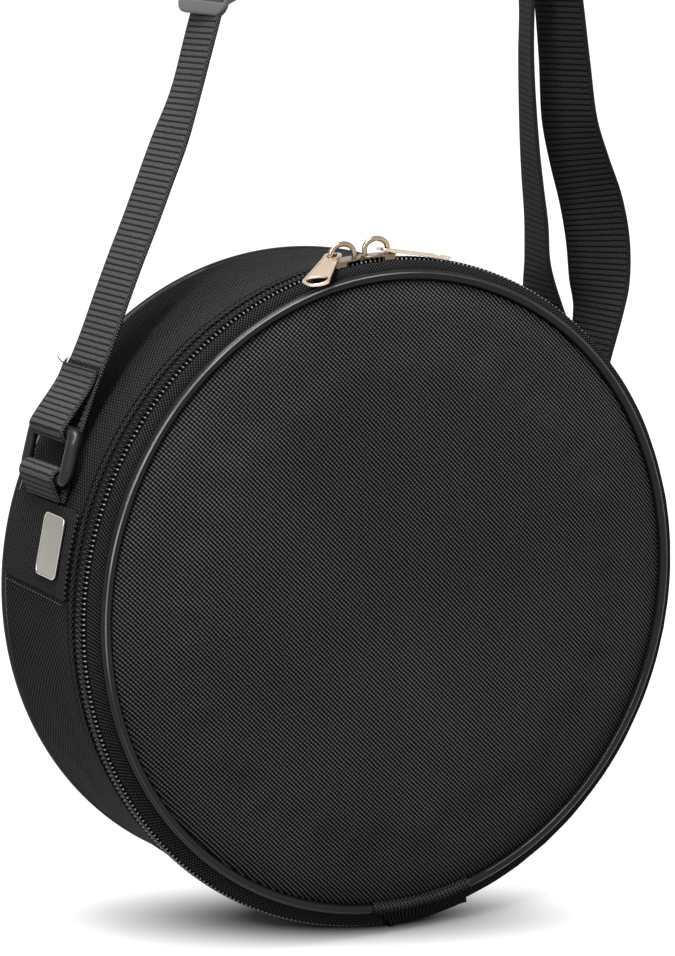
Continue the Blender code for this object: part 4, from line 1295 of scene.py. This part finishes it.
def webbing(name, line, first, last, body, run=0.0):
    """Flat webbing with rounded edges, from one (x, z, turn) key to another in the strap's plane."""
    half_width = webbing_width / 2
    half_thickness = webbing_thickness / 2
    loops = []
    stations = []
    for index in range(first, last + 1):
        key = line[index]
        before = line[max(index - 1, 0)]
        after = line[min(index + 1, len(line) - 1)]
        along = Vector((after.x - before.x, 0, after.y - before.y)).normalized()
        inward = Vector((along.z, 0, -along.x))
        turn = math.radians(key.z)
        across = rearward * math.cos(turn) + inward * math.sin(turn)
        normal = along.cross(across)
        centre = strap_point(key.x, key.y)
        top = [centre + across * (half_width * a) + normal * (half_thickness * b)
               for a, b in zip(edge_shares, edge_heights)]
        bottom = [centre + across * (half_width * a) - normal * (half_thickness * b)
                  for a, b in zip(edge_shares, edge_heights)][1:-1]
        loops.append(top + bottom[::-1])
        if index > first:
            run += (key.xy - before.xy).length
        stations.append(run)
    spans = [half_width * a for a in edge_shares] + [half_width * a for a in edge_shares][1:-1][::-1]
    return loft(name, loops, stations, spans, webbing_cloth, body), run


def build_strap():
    _, left_bar, left_up = ring_bars(-1)
    _, right_bar, right_up = ring_bars(1)
    left = (left_bar.x, left_bar.z)
    right = (right_bar.x, right_bar.z)
    straight = [share * adjuster_straight for share in straight_shares]

    left_points = shares_to_points(left_strand_shares)
    meet = left_points[0]
    rise = unit(left, meet)
    lean = math.degrees(math.atan2(left_up.z, left_up.x))
    halfway = ((left[0] + meet[0]) / 2, (left[1] + meet[1]) / 2)
    near = beside(halfway, rise, layer_pitch * fold_inside_share)
    middle_outside = beside(near, unit(near, left_points[1]), -layer_pitch * fold_outside_share)
    cut = tuple(Vector(near).lerp(Vector(meet), fold_cut_share))
    end_outside = beside(cut, unit(near, meet), -layer_pitch * fold_outside_share)
    wrap = arc(left, lean + 90, lean + 270, wrap_radius, 10)
    fold_keys = [end_outside, middle_outside, *wrap, near]

    over = shares_to_points(over_shares)
    inner = shares_to_points(inner_strand_shares)[::-1]
    outer = shares_to_points(outer_strand_shares)
    main_keys = [meet, *left_points[1:], *[along_adjuster(distance) for distance in straight],
                 *offset_line(over, strand_pitch), *outer]
    before = len(left_points)
    main_turns = [0] * before + [adjuster_turn] * len(straight) + [0] * len(over)
    main_turns += [-turn for turn in outer_strand_turns]

    lean = math.degrees(math.atan2(right_up.z, right_up.x))
    turn_keys = arc(right, lean - 90 + turn_extra_wrap, lean - 270, wrap_radius, 11)

    return_keys = [*inner, *over[::-1],
                   *[along_adjuster(distance, strand_pitch) for distance in straight[:2:-1]]]
    return_turns = inner_strand_turns[::-1] + [0] * len(over)
    return_turns += [-adjuster_turn] * (len(return_keys) - len(return_turns))

    core_middle = strand_pitch + webbing_thickness / 2 + clearance + adjuster_core_thickness / 2
    core_wrap = adjuster_core_thickness / 2 + clearance + webbing_thickness / 2
    back = core_middle + core_wrap
    low = -adjuster_core / 2
    bend = [(low - core_wrap * math.sin(math.radians(turn)),
             core_middle - core_wrap * math.cos(math.radians(turn))) for turn in range(0, 181, 30)]
    places = [(straight[3] / 2, strand_pitch), *bend, (-low, back),
              (adjuster_height / 2, strand_pitch + layer_pitch), (sewn_overlap, strand_pitch + layer_pitch)]
    end_keys = [along_adjuster(distance, offset) for distance, offset in places]

    keys = [*fold_keys, *main_keys, *turn_keys, *return_keys, *end_keys]
    end_turns = [-adjuster_turn * share for share in (1, 1, 0.7, 0.4, 0, -0.4, -0.7, -1, -1, -1, -1)]
    turns = [*[0] * len(fold_keys), *main_turns, *[0] * len(turn_keys), *return_turns,
             *end_turns]
    line = smooth(keys, turns)
    ends = [0, len(fold_keys)]
    ends.append(ends[-1] + len(main_keys) - 1)
    ends.append(ends[-1] + len(turn_keys) + 1)
    ends.append(ends[-1] + len(return_keys) - 1)
    ends.append(len(keys) - 1)
    run = 0.0
    pieces = {}
    for number, (name, node, body) in enumerate((("left_sewn_fold", "strap_left_fold", None),
                                                 ("long_strand", "strap_webbing", "strap"),
                                                 ("right_ring_turn", "strap_right_turn", None),
                                                 ("return_strand", "strap_return", "strap"),
                                                 ("adjuster_sewn_end", "strap_adjuster_fold", None))):
        first, last = ends[number] * strap_substeps, ends[number + 1] * strap_substeps
        pieces[name], run = webbing(name, line, first, last, body, run)
        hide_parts(node)
    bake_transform(pieces["left_sewn_fold"])
    build_fold_end(line)
    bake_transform(pieces["right_ring_turn"])
    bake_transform(pieces["adjuster_sewn_end"])


def strap_point(x, z):
    """A point of the strap's plane, from its place on the disc."""
    return bag_origin + Vector((x, strap_setback, z))


def strap_frame(line, index):
    """A strap key's centre, its direction, and the normal of its outer face."""
    key = line[index]
    before = line[max(index - 1, 0)]
    after = line[index + 1]
    along = Vector((after.x - before.x, 0, after.y - before.y)).normalized()
    centre = strap_point(key.x, key.y)
    return centre, along, along.cross(rearward)


def build_fold_end(line):
    """Frayed fibres at the webbing's cut end, one loose thread, and the seam's stitches."""
    chance = random.Random(11)
    centre, along, normal = strap_frame(line, 0)
    half = webbing_width / 2
    parts = []
    for strand in range(fray_strands):
        place = -half + webbing_width * (strand + chance.random()) / fray_strands
        start = centre + Vector((0, place, 0)) + normal * chance.uniform(*fray_lift)
        length = chance.uniform(*fray_length)
        lean = Vector((0, chance.uniform(-0.5, 0.5), 0)) + normal * chance.uniform(-0.15, 0.5)
        points = [start - along * (length * share) + lean * (length * share * share * 0.7)
                  for share in (-0.4, 0.2, 0.6, 1.0)]
        parts.append(fibre(points, fray_radius))
    start = centre + Vector((0, half, 0)) - along * loose_setback
    parts.append(fibre([start + Vector(step) for step in loose_thread], loose_radius))
    fray = join_meshes("left_fold_frayed_end", parts, webbing_cloth, None)
    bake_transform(fray)

    def seam_place(index, y):
        middle, _, face = strap_frame(line, index)
        return middle + Vector((0, y, 0)) - face * (webbing_thickness / 2), face

    edge = half - seam_inset
    rows = [[seam_place(index, y) for index in range(1, 9)] for y in (-edge, edge)]
    rows.append([seam_place(2, y) for y in (-edge, 0.0, edge)])
    parts = [part for row in rows for part in stitch_row(row, *seam_stitch)]
    seam = join_meshes("left_fold_stitches", parts, thread, None)
    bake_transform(seam)


def build_loops():
    for side, word in ((-1, "left"), (1, "right")):
        lower, _, _ = ring_bars(side)
        leg_angle = mirrored(tab_high_angle, side)
        leg_radius = gusset_radius(strap_setback - webbing_width / 2) + clearance + webbing_thickness / 2
        inner_end = polar(leg_radius, leg_angle, 0) - bag_origin
        outer_end = polar(leg_radius + layer_pitch, leg_angle, 0) - bag_origin
        ring_turn = mirrored(ring_angle, side)
        wrap = arc((lower.x, lower.z), ring_turn + 180 * side, ring_turn - loop_extra_turn * side,
                   wrap_radius, 11)
        points = [(inner_end.x, inner_end.z), *wrap, (outer_end.x, outer_end.z)]
        line = smooth(points, [0] * len(points))
        piece, _ = webbing(word + "_loop_webbing", line, 0, len(line) - 1, "bag")
        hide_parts(word + "_webbing_loop")


# Badge plate, adjuster, sliders and pulls

def build_badge():
    """Bare satin plate with a thin smoother rim, whose lighter colour is a painted highlight on its edge."""
    half_width = badge_width / 2
    near = gusset_radius(badge_setback - half_width) + clearance + tab_thickness
    far = gusset_radius(badge_setback + half_width) + clearance + tab_thickness
    slope = math.atan2(far - near, badge_width)
    seat = tangent_frame((near + far) / 2 + clearance, badge_angle, badge_setback)
    place = seat @ Matrix.Rotation(slope, 4, "X")
    outline = rounded_outline(badge_height / 2, half_width, badge_corner)
    inner = rounded_outline(badge_height / 2 - badge_rim_width, half_width - badge_rim_width,
                            badge_corner - badge_corner_inset)
    plate = flat_plate([inner], 0.0, badge_thickness - badge_face_drop, badge_face_soft, place)
    face = join_plates("badge_plate_face", [plate], badge_metal, "bag")
    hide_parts("badge_plate")
    rim = flat_plate([outline, inner], 0.0, badge_thickness, badge_rim_soft, place)
    join_plates("badge_plate_rim", [rim], badge_rim_highlight, "bag")


def build_adjuster():
    """Tri-glide: an outer plate with its window, the middle bar below, and the two side walls."""
    inner = webbing_width / 2 + clearance
    half_width = inner + adjuster_rail
    half_height = adjuster_height / 2
    bar_low = webbing_thickness / 2 + clearance
    bar_high = bar_low + adjuster_bar_thickness
    core_high = -(strand_pitch + webbing_thickness / 2 + clearance)
    core_low = core_high - adjuster_core_thickness
    lean = math.radians(adjuster_lean)
    up = Vector((math.sin(lean), 0, math.cos(lean)))
    out = Vector((-up.z, 0, up.x))
    place = standing(up, rearward, out, strap_point(*along_adjuster(-adjuster_drop)))
    place = place @ Matrix.Rotation(math.radians(adjuster_turn), 4, "X")
    window = rounded_outline(half_height - adjuster_bar, inner, adjuster_window_corner)
    plate = rounded_outline(half_height, half_width, adjuster_corner)
    core = rounded_outline(adjuster_core / 2, half_width, adjuster_core_corner)
    plates = [flat_plate([plate, window], bar_low, bar_high, adjuster_soft, place),
              flat_plate([core], core_low, core_high, adjuster_core_soft, place)]
    upright = place @ Matrix.Rotation(math.radians(90), 4, "X")
    top, bottom = bar_low + wall_top_lift, core_low + wall_foot_lift
    wall = [(-wall_top_reach, top), (-wall_foot_reach, bottom),
            (wall_foot_reach, bottom), (wall_top_reach, top)]
    for sign in (-1, 1):
        near, far = sorted((-sign * (inner + wall_inset), -sign * (half_width - wall_inset)))
        plates.append(flat_plate([wall], near, far, wall_soft, upright))
    glide = join_plates("tri_glide_moulding", plates, adjuster_lit_plastic, "adjuster")
    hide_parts("tri_glide")


def tangent_frame(radius, angle, y):
    """Local x along the rim towards +X, y to the rear, z outwards."""
    out = outward(angle)
    along = Vector((out.z, 0, -out.x))
    return standing(along, rearward, out, polar(radius, angle, y))


def box_outline(low_x, high_x, low_y, high_y):
    return [(low_x, low_y), (high_x, low_y), (high_x, high_y), (low_x, high_y)]


def build_slider(side, angle, word):
    """Zip slider: top plate, flange, under plate and neck, and its wire bail. Gives the bail's height."""
    front = lid_coil_front - clearance - slider_front_reach
    rear = body_coil_rear + 2 * clearance
    high = coil_outer + slider_running_gap + slider_plate
    place = tangent_frame(0, angle, 0)
    tail = side * slider_length / 2
    nose = -tail
    middle = (front + rear) / 2
    depth = (rear - front) / 2
    outline = [(nose * share, middle - depth * width) for share, width in slider_outline_shares]
    outline += [(x, 2 * middle - y) for x, y in outline[::-1]]
    top = high - slider_plate_drop
    flange = box_outline(*sorted((tail * 0.16, tail * 0.82)), front, front + slider_flange)
    under = tape_outer - tape_thickness - 2 * clearance
    sole = [(x * 0.95, middle + (y - middle) * 0.86) for x, y in outline]
    neck = box_outline(*sorted((nose * 0.94, nose * 0.52)), chain_middle - slider_neck_half,
                       chain_middle + slider_neck_half)
    plates = [flat_plate([shape], low, reach, soft, place) for shape, low, reach, soft in (
        (outline, top - slider_top_thickness, top, slider_soft),
        (flange, coil_inner + slider_flange_lift, top - slider_flange_drop, slider_flange_soft),
        (sole, under - slider_under_plate, under, slider_under_soft),
        (neck, under - slider_neck_overlap, high - slider_neck_drop, slider_neck_soft))]
    foot = top - bail_foot_drop
    path = [Vector((-bail_half_length, chain_middle, foot))]
    for step in range(25):
        turn = math.radians(180 - 180 * step / 24)
        path.append(Vector((bail_half_length * math.cos(turn), chain_middle,
                            high + bail_leg + bail_height * math.sin(turn))))
    path.append(Vector((bail_half_length, chain_middle, foot)))
    bail = tube(path, rearward, bail_wire / 2, 1.12)
    bail.transform(place)
    slider = join_plates(word + "_slider_body", plates, shaded_slider_gold, word + "_slider")
    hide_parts(word + "_slider")
    join_plates(word + "_slider_bail", [bail], shaded_gold_wire, word + "_slider")
    return high + bail_leg


def half_round(middle, end, half):
    """Points of a rounded end, from -half to half across."""
    turns = [math.radians(-90 + 180 * step / 16) for step in range(17)]
    return [(middle + (end - middle) * math.cos(turn), half * math.sin(turn)) for turn in turns]


def build_pull(side, angle, centre_height, swing, word):
    """Zip pull with its eye round the bail, a raised rim and a D-shaped hole."""
    drop, slant, dip, roll = swing
    eye_middle = (bail_half_length + bail_height) / 2
    start = eye_middle - pull_eye_length / 2 - pull_rim
    end = start + pull_length
    half_eye = pull_eye_width / 2
    half_end = pull_end_width / 2
    bend = end - half_end * 0.75

    def outline(inset):
        near = start + inset
        eye = half_eye - inset
        wide = half_end - inset
        points = [(near, -eye * 0.62), (near + pull_eye_ease[0], -eye * 0.92),
                  (near + pull_eye_ease[1], -eye), (start + pull_eye_length + pull_shoulder, -eye),
                  (bend - pull_bend_ease, -wide)]
        return [*points, *half_round(bend, end - inset, wide), *[(x, -y) for x, y in points[::-1]]]

    seat = tangent_frame(centre_height, angle, chain_middle)
    facing = Matrix.Rotation(0 if side > 0 else math.pi, 4, "Z")
    lie = Matrix.Rotation(math.radians(drop), 4, "Y")
    pivot = Matrix.Translation(Vector((eye_middle, 0, 0)))
    turn = Matrix.Rotation(math.radians(slant), 4, "Z") @ Matrix.Rotation(math.radians(dip), 4, "Y")
    lean = pivot @ turn @ Matrix.Rotation(math.radians(-roll), 4, "X") @ pivot.inverted()
    place = seat @ facing @ lie @ lean

    eye = rounded_outline(pull_eye_length / 2, pull_eye_gap / 2, pull_eye_corner, 5)
    eye_hole = [(eye_middle + x, y) for x, y in eye]
    hole_end = end - pull_rim
    hole_start = hole_end - pull_hole_length
    hole_half = half_end - pull_rim
    hole_bend = hole_start + pull_hole_length * 0.3
    hole = [(hole_start - pull_hole_ease[0], 0.0), (hole_start, -hole_half * 0.55),
            (hole_start + pull_hole_ease[1], -hole_half * 0.88), (hole_bend - pull_hole_ease[2], -hole_half)]
    hole += [*half_round(hole_bend, hole_end, hole_half), *[(x, -y) for x, y in hole[3:0:-1]]]
    face = flat_plate([outline(pull_face_inset), eye_hole, hole], -pull_face_half, pull_face_half,
                      pull_face_soft, place)
    pull = join_plates(word + "_pull_plate", [face], gold_face, word + "_pull")
    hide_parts(word + "_pull")
    rim = flat_plate([outline(0.0), outline(pull_rim_width)], -pull_rim_half, pull_rim_half,
                     pull_rim_soft, place)
    join_plates(word + "_pull_rim", [rim], gold_metal, word + "_pull")


def build_hardware():
    """Both sliders, nose to nose as in the photograph, and their pulls."""
    step = math.degrees((slider_length + slider_nose_gap) / coil_outer)
    for side, angle, word, swing in ((-1, left_slider_angle, "left", left_pull_swing),
                                     (1, left_slider_angle - step, "right", right_pull_swing)):
        height = build_slider(side, angle, word)
        build_pull(side, angle, height, swing, word)


# Camera, floor and light

def build_stage():
    camera_data = bpy.data.cameras.new("camera")
    camera_data.lens = camera_lens
    camera = add_object("camera", camera_data)
    forward = camera_forward.normalized()
    right = forward.cross(Vector((0, 0, 1))).normalized()
    camera.matrix_world = standing(right, right.cross(forward), -forward, bag_origin + camera_from_bag)
    bpy.context.scene.camera = camera
    build_floor()
    build_world()
    for name, place, size, strip, power in (
            ("key", (-0.92, -0.86, 1.25), (1.90, 0.11), (-0.835, -0.197, -0.854), 37.0),
            ("fill", (1.2, -0.9, 0.3), (0.8, 0.8), (0, 0, 1), 0.6),
            ("top", (-0.25, -0.25, 1.5), (0.8, 0.8), (1, 0, 0), 27.0)):
        lamp = bpy.data.lights.new(name, "AREA")
        lamp.shape = "RECTANGLE"
        lamp.size, lamp.size_y = size
        lamp.energy = power
        away = Vector(place).normalized()
        run = (Vector(strip) - away * away.dot(Vector(strip))).normalized()
        add_object(name, lamp).matrix_world = standing(run, away.cross(run), away, bag_origin + Vector(place))
    bpy.context.scene.view_settings.view_transform = "Standard"


def build_floor():
    """A floor that camera and reflections see white, apart from a painted soft shadow under the bag, where
    the white fades and the lamps' real shadows show.
    """
    level = cad_box[0][2] - floor_gap
    corners = [(floor_reach * x, floor_reach * y, level) for x, y in ((-1, -1), (1, -1), (1, 1), (-1, 1))]
    mesh = bpy.data.meshes.new("floor")
    mesh.from_pydata(corners, [], [(0, 1, 2, 3)])
    add_object("floor", mesh)
    look = Look("floor", 0.9)
    look.shader.inputs["Base Color"].default_value = (0.18, 0.18, 0.18, 1)
    look.shader.inputs["Emission Color"].default_value = (1, 1, 1, 1)
    # Painted shadow: the floor's white glow fades out in an ellipse under the bag
    centred = look.node("ShaderNodeMapping",
                        {"Vector": look.place(), "Location": (*floor_shadow_middle, level),
                         "Rotation": (0, 0, math.radians(floor_shadow_turn)),
                         "Scale": (*floor_shadow_reach, 1)}, vector_type="TEXTURE")
    distance = look.node("ShaderNodeVectorMath", {0: centred.outputs[0]}, operation="LENGTH")
    glow = look.clamp_range(distance.outputs["Value"], 0.15, 1.20, -0.05, 1.0)
    strength = look.node("ShaderNodeMath", {0: seen_factor(look.tree), 1: glow}, operation="MULTIPLY",
                         use_clamp=True)
    look.put(strength.outputs[0], look.shader.inputs["Emission Strength"])
    mesh.materials.append(look.material)


def build_world():
    """Even studio light, white where the camera or a reflection sees it."""
    world = bpy.data.worlds.new("studio")
    bpy.context.scene.world = world
    world.use_nodes = True
    tree = world.node_tree
    background = tree.nodes["Background"]
    background.inputs["Color"].default_value = (1, 1, 1, 1)
    level = tree.nodes.new("ShaderNodeMapRange")
    level.inputs["To Min"].default_value = 0.33
    level.inputs["To Max"].default_value = 1.0
    tree.links.new(seen_factor(tree), level.inputs["Value"])
    tree.links.new(level.outputs["Result"], background.inputs["Strength"])


def seen_factor(tree):
    """1 for camera, glossy and transmission rays, or else 0."""
    path = tree.nodes.new("ShaderNodeLightPath")
    seen = path.outputs["Is Camera Ray"]
    for ray in ("Is Glossy Ray", "Is Transmission Ray"):
        both = tree.nodes.new("ShaderNodeMath")
        both.operation = "MAXIMUM"
        tree.links.new(seen, both.inputs[0])
        tree.links.new(path.outputs[ray], both.inputs[1])
        seen = both.outputs[0]
    return seen


build_panels()
build_rim()
build_zip()
build_hinge()
build_tabs()
build_rings()
build_loops()
build_strap()
build_adjuster()
build_hardware()
build_badge()
build_stage()
